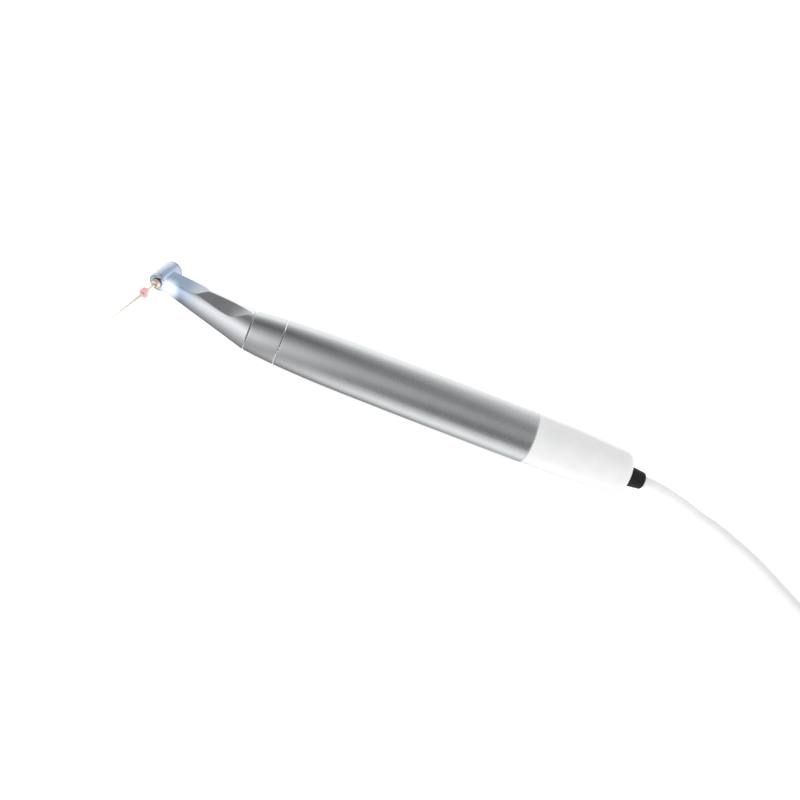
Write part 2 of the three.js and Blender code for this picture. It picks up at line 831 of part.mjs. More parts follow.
const crownAngle = Math.PI / 2 - coneAngle;
const crownTop = 1.9;
const crownTeeth = bevelTeeth(headGearTeeth, headGearRadius, crownAngle, 0.65, crownTop);
const crownOuter = headBore - 0.15;
crownTeeth.rotateY(Math.PI / 2 + Math.PI / headGearTeeth);
const crownBlank = join(crownTeeth, rod(crownTop - 0.05, gearTop, crownOuter));
add(
  headFrame,
  "head_gear",
  common(crownBlank, ring(0, gearTop, chuckRadius + pressFit, crownOuter)),
  brass,
);

const latchBottom = chuckTop + seatGap;
const latchTop = latchBottom + 0.5;
add(headFrame, "latch_plate", ring(latchBottom, latchTop, shankRadius + runFit, headBore - 0.5, 24), steel);

const buttonBottom = latchTop + buttonTravel + 0.5;
const buttonTop = headTop + 0.55;
add(
  headFrame,
  "back_cap",
  turned([
    [capBottom, buttonRadius + runFit],
    [capBottom, headRadius],
    [headTop - 0.4, headRadius],
    [headTop, headRadius - 0.4],
    [headTop, buttonRadius + runFit],
  ]),
  satinSilver,
);
add(
  headFrame,
  "push_button",
  turned([
    [buttonBottom, 0],
    [buttonBottom, buttonRadius],
    [buttonTop - 0.5, buttonRadius],
    [buttonTop, buttonRadius - 0.9],
    [buttonTop, 0],
  ]),
  satinSilver,
);

const springRadius = 1.9;
const springWire = 0.14;
const springTurns = 3;
const springRise = buttonBottom - latchTop - 2 * springWire - 2 * seatGap;
const springPoints = Array.from({ length: 12 * springTurns + 1 }, (_, i) => {
  const angle = (2 * Math.PI * i) / 12;
  const height = latchTop + springWire + seatGap + (springRise * i) / (12 * springTurns);
  return new THREE.Vector3(springRadius * Math.cos(angle), height, springRadius * Math.sin(angle));
});
add(headFrame, "button_spring", tube(new THREE.CatmullRomCurve3(springPoints), springWire, 5, 30), steel);

// ---- File ---------------------------------------------------------------------------------------

const shankTop = latchTop + 0.1;
add(headFrame, "file_shank", rod(handleTop + seatGap, shankTop, shankRadius, 24), steel);
add(
  headFrame,
  "file_handle",
  turned([
    [handleBottom, 0],
    [handleBottom, handleRadius - 0.5],
    [handleBottom + 0.5, handleRadius],
    [handleTop, handleRadius],
    [handleTop, 0],
  ], 24),
  fileGold,
);
const bladeTop = handleBottom - seatGap;
add(
  headFrame,
  "file_blade",
  turned([[fileTip, 0], [fileTip, fileTipRadius], [bladeTop, fileTopRadius], [bladeTop, 0]], 8),
  fileGold,
);
const stopperMiddle = headBottom - stopperDrop;
add(
  headFrame,
  "depth_stopper",
  turned([
    [stopperMiddle - stopperHeight / 2, fileTopRadius + runFit],
    [stopperMiddle - stopperHeight / 2, stopperRadius - 0.3],
    [stopperMiddle, stopperRadius],
    [stopperMiddle + stopperHeight / 2, stopperRadius - 0.3],
    [stopperMiddle + stopperHeight / 2, fileTopRadius + runFit],
  ], 20),
  stopperRed,
);

// ---- Cord, coil and plug ------------------------------------------------------------------------

const cordStart = coverWallFront - 6.5;
// Chosen by hand: out of the strain relief, down to the table, and round towards the coil.
// x from the strain relief's end, y across, and the share of the way down to the table.
const cordRoute = [
  [7.1, 0, 0.08],
  [14.1, 0, 0.27],
  [21.6, 0.4, 0.57],
  [30.1, 0, 0.9],
  [37.1, -1.6, 1],
  [48.8, -8.3, 1],
  [57.2, -14.6, 1],
  [65.2, -22.3, 1],
  [73.1, -29.9, 1],
  [80.9, -37.3, 1],
];
const cordLine = new THREE.CatmullRomCurve3([
  new THREE.Vector3(cordStart, 0, 0),
  new THREE.Vector3(reliefEnd, 0, 0),
  ...cordRoute.map(([x, y, share]) => new THREE.Vector3(reliefEnd + x, y, share * cordLevel)),
]);
add(assembly, "cord", tube(cordLine, cordRadius, 8, 16), cordGrey);

const coilRing = turned(
  [[table, coilInner], [table, coilOuter], [coilTop, coilOuter], [coilTop, coilInner]],
  36,
);
coilRing.rotateX(Math.PI / 2).translate(coilCentre.x, coilCentre.y, 0);
// The tie is a strap round the bundle. In its frame X runs across the bundle and Z is up.
const tiePlace = new THREE.Matrix4()
  .makeRotationZ(THREE.MathUtils.degToRad(120))
  .setPosition(coilCentre.x, coilCentre.y, 0);
const tieGap = 0.3;
const tieInner = Math.sqrt(coilInner ** 2 - (tieWidth / 2 + tieGap) ** 2) - tieGap;
const tieOuter = coilOuter + tieGap;
const tieFloor = table + tieThickness;
const tieRoof = coilTop + tieGap;
const half = tieWidth / 2;
const notchHalf = half + tieGap;
const floorNotch = block(tieInner - 2, tieOuter + 2, -notchHalf, notchHalf, table - 1, tieFloor + tieGap);
add(assembly, "cord_coil", cut(coilRing, floorNotch.applyMatrix4(tiePlace)), cordGrey);
const tieBlank = block(
  tieInner - tieThickness, tieOuter + tieThickness,
  -half, half,
  table, tieRoof + tieThickness,
);
const tieHole = block(tieInner, tieOuter, -tieWidth, tieWidth, tieFloor, tieRoof);
add(assembly, "coil_tie", cut(tieBlank, tieHole).applyMatrix4(tiePlace), blackRubber);

// The cord's last stretch lies on top of the coil and rises to the plug, which lies there too.
const tailLevel = coilTop + seamGap + cordRadius;
const plugLevel = coilTop + seamGap + plugRadius;
const plugBack = new THREE.Vector3(coilCentre.x + plugPlace[0], coilCentre.y + plugPlace[1], plugLevel);
const tailSteps = 6;
const tailPoints = [];
for (let i = 0; i <= tailSteps; i++) {
  const angle = tailStart + (tailArc * i) / tailSteps;
  const x = coilCentre.x + coilOuterTurn * Math.cos(angle);
  const y = coilCentre.y + coilOuterTurn * Math.sin(angle);
  tailPoints.push(new THREE.Vector3(x, y, tailLevel));
}
// Chosen by hand: x and y before the plug's cord end, and the share of the way up to it.
const tailRise = [
  [-5.3, -9.4, 0.15],
  [-2.5, -6.6, 0.55],
  [-0.5, -3.9, 0.93],
  [0, -1.8, 1],
  [0, -seamGap, 1],
];
for (const [x, y, share] of tailRise) {
  const level = tailLevel + share * (plugLevel - tailLevel);
  tailPoints.push(new THREE.Vector3(plugBack.x + x, plugBack.y + y, level));
}
add(assembly, "cord_tail", tube(new THREE.CatmullRomCurve3(tailPoints), cordRadius, 8, 24), cordGrey);

const plugFrame = new THREE.Group();
plugFrame.position.copy(plugBack); // local Y points out of the plug's nose
assembly.add(plugFrame);
const bodyBack = plugReliefLength + seatGap;
const bodyFront = bodyBack + plugLength;
add(
  plugFrame,
  "plug_strain_relief",
  rod(0, plugReliefLength, reliefTipRadius, 20),
  blackRubber,
);
add(
  plugFrame,
  "plug_body",
  turned([
    [bodyBack, 0],
    [bodyBack, plugRadius - 2],
    [bodyBack + 2, plugRadius - 0.4],
    [bodyBack + 3, plugRadius],
    [bodyFront, plugRadius],
    [bodyFront, 0],
  ]),
  blackRubber,
);
const noseBack = bodyFront + seatGap;
const noseFront = noseBack + plugNoseLength;
const insertRadius = plugNoseRadius - 0.9;
add(plugFrame, "plug_shell", ring(noseBack, noseFront, insertRadius + pressFit, plugNoseRadius, 28), steel);
const insertTop = noseFront - 3.5;
const contacts = [];
for (let i = 0; i < contactCount; i++) {
  const contact = rod(insertTop - 0.5, noseFront - 0.6, 0.5, 10).translate(2.6, 0, 0);
  contacts.push(contact.rotateY((2 * Math.PI * i) / contactCount));
}
add(plugFrame, "plug_contacts", join(rod(noseBack, insertTop, insertRadius, 24), ...contacts), brass);

// ---- Place the object on the table, over the middle of its own box ------------------------------

const onCord = new Set(["cord", "cord_coil", "coil_tie", "cord_tail"]);
const ownBox = new THREE.Box3();
assembly.updateMatrixWorld(true);
assembly.traverse((node) => {
  const isOwn = node.isMesh && !onCord.has(node.name) && !node.name.startsWith("plug_");
  if (isOwn) ownBox.expandByObject(node, true);
});
const middle = ownBox.getCenter(new THREE.Vector3());
assembly.position.set(-middle.x, -middle.y, -table);

export default assembly;
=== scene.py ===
import json
import math

import bmesh
import bpy
import numpy as np
from mathutils import Matrix, Vector


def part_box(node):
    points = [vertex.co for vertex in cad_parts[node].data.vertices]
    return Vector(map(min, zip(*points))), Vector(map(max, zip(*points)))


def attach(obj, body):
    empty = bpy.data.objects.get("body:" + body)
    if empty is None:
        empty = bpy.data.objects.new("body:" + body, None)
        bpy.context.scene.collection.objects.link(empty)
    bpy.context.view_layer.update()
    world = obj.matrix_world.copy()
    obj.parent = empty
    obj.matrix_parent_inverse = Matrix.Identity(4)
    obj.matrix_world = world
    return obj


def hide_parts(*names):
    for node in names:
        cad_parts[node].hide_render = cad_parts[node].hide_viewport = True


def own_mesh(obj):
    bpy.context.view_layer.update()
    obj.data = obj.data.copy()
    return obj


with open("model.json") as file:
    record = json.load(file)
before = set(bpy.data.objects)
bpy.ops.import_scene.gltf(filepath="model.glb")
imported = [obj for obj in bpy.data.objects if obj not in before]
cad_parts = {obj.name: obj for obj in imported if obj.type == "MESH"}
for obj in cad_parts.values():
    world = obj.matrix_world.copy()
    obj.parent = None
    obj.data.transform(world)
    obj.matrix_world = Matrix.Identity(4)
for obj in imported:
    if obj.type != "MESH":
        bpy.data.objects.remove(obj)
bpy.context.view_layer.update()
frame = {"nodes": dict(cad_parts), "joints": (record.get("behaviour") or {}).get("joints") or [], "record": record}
MM = 0.001

# ---- Places, all read from the frame -------------------------------------------------------------

joints = {joint["name"]: joint for joint in frame["joints"]}
neck_joint = joints["neck_drive_spin"]
head_joint = joints["chuck_spin"]

barrel_low, barrel_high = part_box("barrel_shell")
collar_low, collar_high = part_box("collar")
cover_low, cover_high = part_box("rear_cover")
relief_low, relief_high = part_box("strain_relief")
coil_low, coil_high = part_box("cord_coil")
lens_low, lens_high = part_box("light_lens")

SEAM_GAP = 0.3
seam = collar_low.x - SEAM_GAP / 2 * MM  # where the neck meets the collar
axis_y = (barrel_low.y + barrel_high.y) / 2
axis_z = (barrel_low.z + barrel_high.z) / 2
relief_end = relief_high.x

BACK = Vector((1, 0, 0))
SIDE = Vector((0, 0, 1))
HEAD_UP = Vector(head_joint["axis"]).normalized()  # out of the push button
FORWARD = -Vector(neck_joint["axis"]).normalized()  # along the neck towards the head
bend_point = Vector(neck_joint["pos_m"])
head_centre = Vector(head_joint["pos_m"])
neck_length = (head_centre - bend_point).length / MM
lens_middle = (lens_low + lens_high) / 2


def along_x(x):
    """A place on the barrel's axis, in millimetres behind the neck's seam."""
    return x / MM - seam / MM


def head_level(node, high):
    """How far above the neck's axis a node of the head starts or ends, in millimetres."""
    levels = [(v.co - head_centre).dot(HEAD_UP) / MM for v in frame["nodes"][node].data.vertices]
    return max(levels) if high else min(levels)


def frame_matrix(origin, axis, across):
    """A frame in metres whose Z is axis and whose X is the part of across that is square to it."""
    z = axis.normalized()
    x = (across - z * across.dot(z)).normalized()
    y = z.cross(x)
    matrix = Matrix((x, y, z)).transposed().to_4x4()
    matrix.translation = origin
    return matrix


BARREL = frame_matrix(Vector((seam, axis_y, axis_z)), BACK, Vector((0, 1, 0)))
HEAD = frame_matrix(head_centre, HEAD_UP, -FORWARD)

# ---- Camera --------------------------------------------------------------------------------------

CAMERA_PLACE = (-0.0503, -0.2854, 0.2620)
VIEW = Vector((0.139, 0.737, -0.662)).normalized()
ROUGHLY_UP = Vector((-0.354, 0.661, 0.661)).normalized()
right = VIEW.cross(ROUGHLY_UP).normalized()
up = right.cross(VIEW)
camera_data = bpy.data.cameras.new("camera")
camera_data.lens = 45
camera_data.sensor_width = 36
camera_data.clip_start = 0.01
camera = bpy.data.objects.new("camera", camera_data)
bpy.context.scene.collection.objects.link(camera)
camera_turn = Matrix((right, up, -VIEW)).transposed().to_4x4()
camera.matrix_world = Matrix.Translation(CAMERA_PLACE) @ camera_turn
bpy.context.scene.camera = camera
bpy.context.scene.view_settings.view_transform = "Standard"

# ---- Materials -----------------------------------------------------------------------------------


class Nodes:
    """A material's node tree with a Principled shader, in object coordinates."""

    def __init__(self, name, color, roughness, metallic=0.0):
        self.material = bpy.data.materials.new(name)
        self.material.use_nodes = True
        self.tree = self.material.node_tree
        self.shader = self.tree.nodes["Principled BSDF"]
        self.set("Base Color", (*color, 1))
        self.set("Roughness", roughness)
        self.set("Metallic", metallic)
        self.color = color
        self.roughness = roughness
        self.place = self.node("ShaderNodeTexCoord").outputs["Object"]
        self.normal = None

    def node(self, kind, **values):
        made = self.tree.nodes.new(kind)
        for key, value in values.items():
            setattr(made, key, value)
        return made

    def set(self, socket, value):
        self.shader.inputs[socket].default_value = value
        return self

    def link(self, output, target):
        self.tree.links.new(output, target)

    def noise(self, scale, detail=2.0, stretch=(1, 1, 1)):
        texture = self.node("ShaderNodeTexNoise")
        texture.inputs["Scale"].default_value = scale
        texture.inputs["Detail"].default_value = detail
        if stretch == (1, 1, 1):
            self.link(self.place, texture.inputs["Vector"])
        else:
            mapping = self.node("ShaderNodeMapping")
            mapping.inputs["Scale"].default_value = stretch
            self.link(self.place, mapping.inputs["Vector"])
            self.link(mapping.outputs["Vector"], texture.inputs["Vector"])
        return texture.outputs["Fac"]

    def spread(self, value, low, high, from_low=0.3, from_high=0.7):
        ranged = self.node("ShaderNodeMapRange")
        ranged.inputs["From Min"].default_value = from_low
        ranged.inputs["From Max"].default_value = from_high
        ranged.inputs["To Min"].default_value = low
        ranged.inputs["To Max"].default_value = high
        self.link(value, ranged.inputs["Value"])
        return ranged.outputs["Result"]

    def vary_roughness(self, scale, amount, **noise):
        low, high = self.roughness - amount, self.roughness + amount
        varied = self.spread(self.noise(scale, **noise), low, high)
        self.link(varied, self.shader.inputs["Roughness"])
        return self

    def vary_color(self, value, other):
        mix = self.node("ShaderNodeMix", data_type="RGBA")
        mix.inputs["A"].default_value = (*self.color, 1)
        mix.inputs["B"].default_value = (*other, 1)
        self.link(value, mix.inputs["Factor"])
        self.link(mix.outputs["Result"], self.shader.inputs["Base Color"])
        return self

    def bump(self, height, depth, strength=1.0):
        """Adds a bump of that depth in millimetres; several calls stack."""
        bump = self.node("ShaderNodeBump")
        bump.inputs["Strength"].default_value = strength
        bump.inputs["Distance"].default_value = depth * MM
        self.link(height, bump.inputs["Height"])
        if self.normal is not None:
            self.link(self.normal, bump.inputs["Normal"])
        self.normal = bump.outputs["Normal"]
        self.link(self.normal, self.shader.inputs["Normal"])
        return self


def fine_metal(name, color, roughness, grain=7000, depth=0.004, other=None, stretch=(1, 1, 1)):
    """Metal with a fine grain in its surface and roughness, and faint cloudy changes of colour."""
    metal = Nodes(name, color, roughness, metallic=1.0)
    metal.vary_roughness(grain * 0.6, 0.05)
    metal.bump(metal.noise(grain, detail=3.0, stretch=stretch), depth)
    clouds = metal.spread(metal.noise(120), 0, 1)
    metal.vary_color(clouds, other or tuple(0.94 * c for c in color))
    return metal


def plastic(name, color, roughness, grain=2500, depth=0.006, other=None, coat=0.0):
    """Moulded plastic or rubber: a slight orange-peel surface and cloudy colour."""
    moulded = Nodes(name, color, roughness)
    moulded.vary_roughness(grain * 0.2, min(0.05, roughness * 0.3))
    moulded.bump(moulded.noise(grain), depth)
    clouds = moulded.spread(moulded.noise(180), 0, 1)
    moulded.vary_color(clouds, other or tuple(0.95 * c for c in color))
    moulded.set("Coat Weight", coat)
    moulded.set("Coat Roughness", 0.06)
    return moulded


satin = fine_metal("satin_silver_finish", (0.735, 0.755, 0.77), 0.25)
# This silver also carries painted light, added further down: a blue tint and a glow beside the lamp.
bright = fine_metal("bright_silver_with_painted_light", (0.78, 0.80, 0.83), 0.19, grain=9000, depth=0.002)
steel = fine_metal("steel_finish", (0.55, 0.56, 0.58), 0.26, depth=0.005)
brass = fine_metal("brass_finish", (0.78, 0.60, 0.30), 0.3)
gold = fine_metal("file_gold_finish", (0.90, 0.84, 0.66), 0.26, grain=12000, depth=0.002)
magnet = fine_metal("magnet_finish", (0.22, 0.235, 0.26), 0.34)
copper = fine_metal("copper_finish", (0.72, 0.36, 0.20), 0.35)
white_gloss = plastic(
    "white_gloss_finish", (0.89, 0.892, 0.895), 0.2, grain=900, depth=0.003, coat=0.6
)
black_rubber = plastic("black_rubber_finish", (0.010, 0.010, 0.011), 0.5, grain=5000, depth=0.01)
black_rubber.set("Specular IOR Level", 0.2)
cord_jacket = plastic("cord_jacket_finish", (0.92, 0.922, 0.925), 0.42, grain=3500, depth=0.008)
grey_plastic = plastic("grey_plastic_finish", (0.55, 0.57, 0.6), 0.45)
chip_black = plastic("chip_black_finish", (0.03, 0.03, 0.033), 0.4, grain=9000, depth=0.01)
board_green = plastic("board_green_finish", (0.03, 0.20, 0.09), 0.35, other=(0.05, 0.28, 0.13))
red_band = plastic("red_band_finish", (0.82, 0.24, 0.25), 0.35)
stopper_red = plastic(
    "stopper_red_finish", (0.92, 0.46, 0.49), 0.33, grain=4000, other=(0.95, 0.60, 0.61)
)
stopper_red.set("Subsurface Weight", 0.25).set("Subsurface Radius", (0.0012, 0.0005, 0.0005))
stopper_red.set("Subsurface Scale", 1.0)

glass = Nodes("clear_glass_finish", (0.93, 0.97, 1.0), 0.06)
glass.set("Transmission Weight", 0.9).set("IOR", 1.49).vary_roughness(900, 0.02)
lamp = Nodes("lamp_finish", (0.95, 0.98, 1.0), 0.25)
lamp.set("Emission Color", (0.72, 0.86, 1.0, 1)).set("Emission Strength", 6.0)
lamp.vary_roughness(900, 0.04)

# The winding's enamelled wires show as fine lines round the motor.
wires = copper.node("ShaderNodeTexWave", wave_type="BANDS", bands_direction="X")
wires.inputs["Scale"].default_value = 900
copper.link(copper.place, wires.inputs["Vector"])
copper.bump(wires.outputs["Fac"], 0.15)

# Painted light: a faint blue is painted into the neck's and head's colour for the lamp's light on the metal,
# strongest beside the head.
PAINTED_TINT_REACH = (3, 16)  # millimetres from its middle over which it fades
to_head = bright.node("ShaderNodeVectorMath", operation="DISTANCE")
to_head.inputs[1].default_value = head_centre - FORWARD * (6 * MM)
bright.link(bright.place, to_head.inputs[0])
near = bright.node("ShaderNodeMapRange", interpolation_type="SMOOTHSTEP")
near.inputs["From Min"].default_value = PAINTED_TINT_REACH[0] * MM
near.inputs["From Max"].default_value = PAINTED_TINT_REACH[1] * MM
near.inputs["To Min"].default_value = 1
near.inputs["To Max"].default_value = 0
bright.link(to_head.outputs["Value"], near.inputs["Value"])
bright.vary_color(near.outputs["Result"], (0.47, 0.59, 0.77))

# Painted light: beside the lamp the metal is made to glow, an emission that stands for the lamp's light washing it
# out.
PAINTED_GLOW_REACH = (1, 6)  # millimetres from the lens over which it fades
to_lamp = bright.node("ShaderNodeVectorMath", operation="DISTANCE")
to_lamp.inputs[1].default_value = lens_middle - HEAD_UP * (1.2 * MM)
bright.link(bright.place, to_lamp.inputs[0])
painted_glow = bright.node("ShaderNodeMapRange", interpolation_type="SMOOTHERSTEP")
painted_glow.inputs["From Min"].default_value = PAINTED_GLOW_REACH[0] * MM
painted_glow.inputs["From Max"].default_value = PAINTED_GLOW_REACH[1] * MM
painted_glow.inputs["To Min"].default_value = 0.85
painted_glow.inputs["To Max"].default_value = 0
bright.link(to_lamp.outputs["Value"], painted_glow.inputs["Value"])
bright.set("Emission Color", (0.86, 0.93, 1.0, 1))
bright.link(painted_glow.outputs["Result"], bright.shader.inputs["Emission Strength"])

BY_SLOT = {
    "satin_silver": satin,
    "bright_silver": bright,
    "white_gloss": white_gloss,
    "black_rubber": black_rubber,
    "cord_grey": cord_jacket,
    "steel": steel,
    "brass": brass,
    "copper": copper,
    "magnet": magnet,
    "grey_plastic": grey_plastic,
    "board_green": board_green,
    "chip_black": chip_black,
    "clear_glass": glass,
    "lamp": lamp,
    "file_gold": gold,
    "stopper_red": stopper_red,
}
CAD_SHARP = 28  # degrees between two faces that make a sharp edge
node_slots = {part["node"]: part["material_slot"] for part in frame["record"]["subparts"]}
for name, obj in frame["nodes"].items():
    finish = BY_SLOT[node_slots[name]].material
    if not obj.material_slots:
        obj.data.materials.append(finish)
    for place in obj.material_slots:
        place.material = finish
    obj.data.shade_smooth()
    obj.data.set_sharp_from_angle(angle=math.radians(CAD_SHARP))

# ---- Shapes --------------------------------------------------------------------------------------

SHARP = 32  # degrees between two faces that make a sharp edge
POLE = 1e-4  # a smaller radius, in millimetres, is a point on the axis


def curve_through(corners, steps=6):
    """A closed profile with rounded corners, in millimetres.
    A corner is (along, radius) or (along, radius, rounding), where the rounding is how far the arc
    reaches along both edges."""
    points = []
    count = len(corners)
    for i, corner in enumerate(corners):
        here = np.array(corner[:2], float)
        reach = corner[2] if len(corner) > 2 else 0
        if not reach:
            points.append(here)
            continue
        before = np.array(corners[i - 1][:2], float) - here
        after = np.array(corners[(i + 1) % count][:2], float) - here
        start = here + before * (reach / np.linalg.norm(before))
        end = here + after * (reach / np.linalg.norm(after))
        for u in np.linspace(0, 1, steps + 1):
            points.append((1 - u) ** 2 * start + 2 * u * (1 - u) * here + u * u * end)
    return points


def finish_mesh(name, bm, slot, body, nodes, material=None, sharp=SHARP):
    """Makes the object. With a body it rides that, has a slot and takes its CAD nodes' place."""
    bmesh.ops.remove_doubles(bm, verts=bm.verts, dist=1e-7)
    bmesh.ops.recalc_face_normals(bm, faces=bm.faces)
    mesh = bpy.data.meshes.new(name)
    bm.to_mesh(mesh)
    bm.free()
    mesh.shade_smooth()
    mesh.set_sharp_from_angle(angle=math.radians(sharp))
    obj = bpy.data.objects.new(name, mesh)
    bpy.context.scene.collection.objects.link(obj)
    mesh.materials.append((material or BY_SLOT[slot]).material)
    if body:
        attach(obj, body)
        if nodes:
            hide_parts(*nodes)
    return obj


def grid(bm, rows, closed_rows=False):
    """Faces between rows of points. A row is a closed ring of the one count, or a single point."""
    made = [[bm.verts.new(point) for point in row] for row in rows]
    pairs = list(zip(made, made[1:]))
    if closed_rows:
        pairs.append((made[-1], made[0]))
    for one, two in pairs:
        count = max(len(one), len(two))
        for j in range(count):
            k = (j + 1) % count
            corners = [one[j % len(one)], one[k % len(one)], two[k % len(two)], two[j % len(two)]]
            unique = list(dict.fromkeys(corners))
            if len(unique) > 2:
                bm.faces.new(unique)


def turned_rows(profile, place, segments, shape=None):
    """Rings of points for a turned profile.
    shape gives a point's radius from its angle, its place along the axis and its plain radius."""
    rows = []
    for along, radius in profile:
        if radius < POLE:
            rows.append([place @ Vector((0, 0, along * MM))])
            continue
        ring = []
        for j in range(segments):
            angle = 2 * math.pi * j / segments
            r = radius if shape is None else shape(angle, along, radius)
            x, y = r * MM * math.cos(angle), r * MM * math.sin(angle)
            ring.append(place @ Vector((x, y, along * MM)))
        rows.append(ring)
    return rows


def turned(
    name, corners, place, slot, body, nodes=(), segments=96, material=None, shape=None, sharp=SHARP
):
    """A turned piece, with corners as for curve_through. It is a ring, or it ends on the axis."""
    profile = curve_through(corners)
    on_axis = profile[0][1] < POLE and profile[-1][1] < POLE
    bm = bmesh.new()
    grid(bm, turned_rows(profile, place, segments, shape), closed_rows=not on_axis)
    return finish_mesh(name, bm, slot, body, nodes, material, sharp)


def carve(obj, *cutters):
    """Cuts the cutters out of obj, applies that, and removes them."""
    for cutter in cutters:
        modifier = obj.modifiers.new("cut", "BOOLEAN")
        modifier.operation = "DIFFERENCE"
        modifier.solver = "EXACT"
        modifier.object = cutter
    bpy.context.view_layer.update()
    evaluated = obj.evaluated_get(bpy.context.evaluated_depsgraph_get())
    mesh = bpy.data.meshes.new_from_object(evaluated)
    obj.modifiers.clear()
    old = obj.data
    obj.data = mesh
    bpy.data.meshes.remove(old)
    for cutter in cutters:
        bpy.data.objects.remove(cutter)
    mesh.set_sharp_from_angle(angle=math.radians(SHARP))


def cutter_rod(place, start, end, radius, segments=48):
    corners = [(start, 0), (start, radius), (end, radius), (end, 0)]
    bm = bmesh.new()
    grid(bm, turned_rows(corners, place, segments))
    return finish_mesh("cutter", bm, "steel", None, ())


def smooth_step(x, low, high):
    u = min(1, max(0, (x - low) / (high - low)))
    return u * u * (3 - 2 * u)


# ---- Cord ----------------------------------------------------------------------------------------

CORD_DIAMETER = 4.7
CORD_RADIUS = CORD_DIAMETER / 2
CORD_LIFT = 0.12
coil_x = (coil_low.x + coil_high.x) / 2 / MM
coil_y = (coil_low.y + coil_high.y) / 2 / MM
OUTER_TURN = (coil_high.x - coil_low.x) / 2 / MM - CORD_RADIUS
LOW_LEVEL = CORD_RADIUS + 0.05
HIGH_LEVEL = LOW_LEVEL + CORD_DIAMETER
TOP_LEVEL = coil_high.z / MM + 0.3 + CORD_RADIUS
TIE_ANGLE = 120
TIE_RISE = 0.85  # the strap lifts the lower turns by that much
TIE_FADE = (8, 26)  # degrees from the tie over which they come down again
ROUTE = [  # x from the strain relief's end, y from the axis, share of the way down to the table
    (7.1, 0, 0.08),
    (14.1, 0, 0.27),
    (21.6, 0.4, 0.57),
    (30.1, 0, 0.9),
    (37.1, -1.6, 1),
    (48.8, -8.3, 1),
    (57.2, -14.6, 1),
    (65.2, -22.3, 1),
    (73.1, -29.9, 1),
    (80.9, -37.3, 1),
]
START_INSIDE = 17.7  # the cord starts this far before the strain relief's end, in its clamp
START_INSIDE_MIDDLE = 8
COIL_START = 223  # where the cord meets its outermost turn, in degrees

axis_y_mm = axis_y / MM
axis_z_mm = axis_z / MM
relief_mm = relief_end / MM
table_drop = axis_z_mm - CORD_RADIUS - CORD_LIFT

cord_points = []
for back in (START_INSIDE, START_INSIDE_MIDDLE, 0):
    cord_points.append((relief_mm - back, axis_y_mm, axis_z_mm))
for x, y, share in ROUTE:
    cord_points.append((relief_mm + x, axis_y_mm + y, axis_z_mm - share * table_drop))

# Each change is (first angle, last angle, what, its new value), with angles from the coil's start.
COIL_CHANGES = [
    (300, 360, "radius", OUTER_TURN - CORD_DIAMETER),
    (660, 720, "radius", OUTER_TURN - 2 * CORD_DIAMETER),
    (1020, 1080, "radius", OUTER_TURN - 3 * CORD_DIAMETER),
    (1320, 1380, "level", HIGH_LEVEL),
    (1620, 1680, "radius", OUTER_TURN - 2 * CORD_DIAMETER),
    (1980, 2040, "radius", OUTER_TURN - CORD_DIAMETER),
    (2340, 2400, "radius", OUTER_TURN),
    (2452, 2512, "level", TOP_LEVEL),
]
COIL_END = 2597
COIL_POINTS = 174


def coil_point(angle):
    values = {"radius": OUTER_TURN, "level": LOW_LEVEL}
    for first, last, what, new in COIL_CHANGES:
        values[what] += (new - values[what]) * smooth_step(angle, first, last)
    angle += COIL_START
    off_tie = abs((angle - TIE_ANGLE + 180) % 360 - 180)
    rise = TIE_RISE * (1 - smooth_step(off_tie, *TIE_FADE))
    if values["level"] >= HIGH_LEVEL + 0.5:
        rise = 0
    a = math.radians(angle)
    radius = values["radius"]
    return (coil_x + radius * math.cos(a), coil_y + radius * math.sin(a), values["level"] + rise)


for angle in np.linspace(0, COIL_END, COIL_POINTS):
    cord_points.append(coil_point(float(angle)))
plug_low, plug_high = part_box("plug_strain_relief")
PLUG_RELIEF = 9.0
plug_axis = Vector((0, 1, 0))
plug_back = (plug_low + plug_high) / 2 - plug_axis * (PLUG_RELIEF / 2 * MM)
plug_level = plug_back.z / MM
TAIL_RISE = [  # x and y from the plug's back, share of the way up to it
    (-5.3, -9.4, 0.15),
    (-2.5, -6.6, 0.55),
    (-0.5, -3.9, 0.93),
    (0, -1.8, 1),
    (0, -SEAM_GAP, 1),
]
for x, y, share in TAIL_RISE:
    level = TOP_LEVEL + share * (plug_level - TOP_LEVEL)
    cord_points.append((plug_back.x / MM + x, plug_back.y / MM + y, level))

cord_curve = bpy.data.curves.new("cord_lead", "CURVE")
cord_curve.dimensions = "3D"
cord_curve.resolution_u = 6
cord_curve.bevel_depth = CORD_RADIUS * MM
cord_curve.bevel_resolution = 5
cord_curve.use_fill_caps = True
spline = cord_curve.splines.new("BEZIER")
spline.bezier_points.add(len(cord_points) - 1)
for knot, point in zip(spline.bezier_points, cord_points):
    knot.co = Vector(point) * MM
    knot.handle_left_type = "AUTO"
    knot.handle_right_type = "AUTO"
cord_curve.materials.append(cord_jacket.material)
cord_lead = bpy.data.objects.new("cord_lead", cord_curve)
bpy.context.scene.collection.objects.link(cord_lead)
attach(cord_lead, "motor_handpiece")
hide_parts("cord", "cord_coil", "cord_tail")

# ---- Tie and plug --------------------------------------------------------------------------------

TIE_WIDTH = 9.0
TIE_THICKNESS = 0.8
TIE_BEVEL = 0.15
TIE_CORNER = 1.9  # how far the loop's inner corners are rounded along each side
tie_place = frame_matrix(
    Vector((coil_x * MM, coil_y * MM, 0)),
    SIDE,
    Vector((math.cos(math.radians(TIE_ANGLE)), math.sin(math.radians(TIE_ANGLE)), 0)),
)
tie_in = OUTER_TURN - 3 * CORD_DIAMETER - CORD_RADIUS - 0.75
tie_out = OUTER_TURN + CORD_RADIUS + 0.3
tie_floor = TIE_THICKNESS
tie_roof = HIGH_LEVEL + TIE_RISE + CORD_RADIUS + 0.05


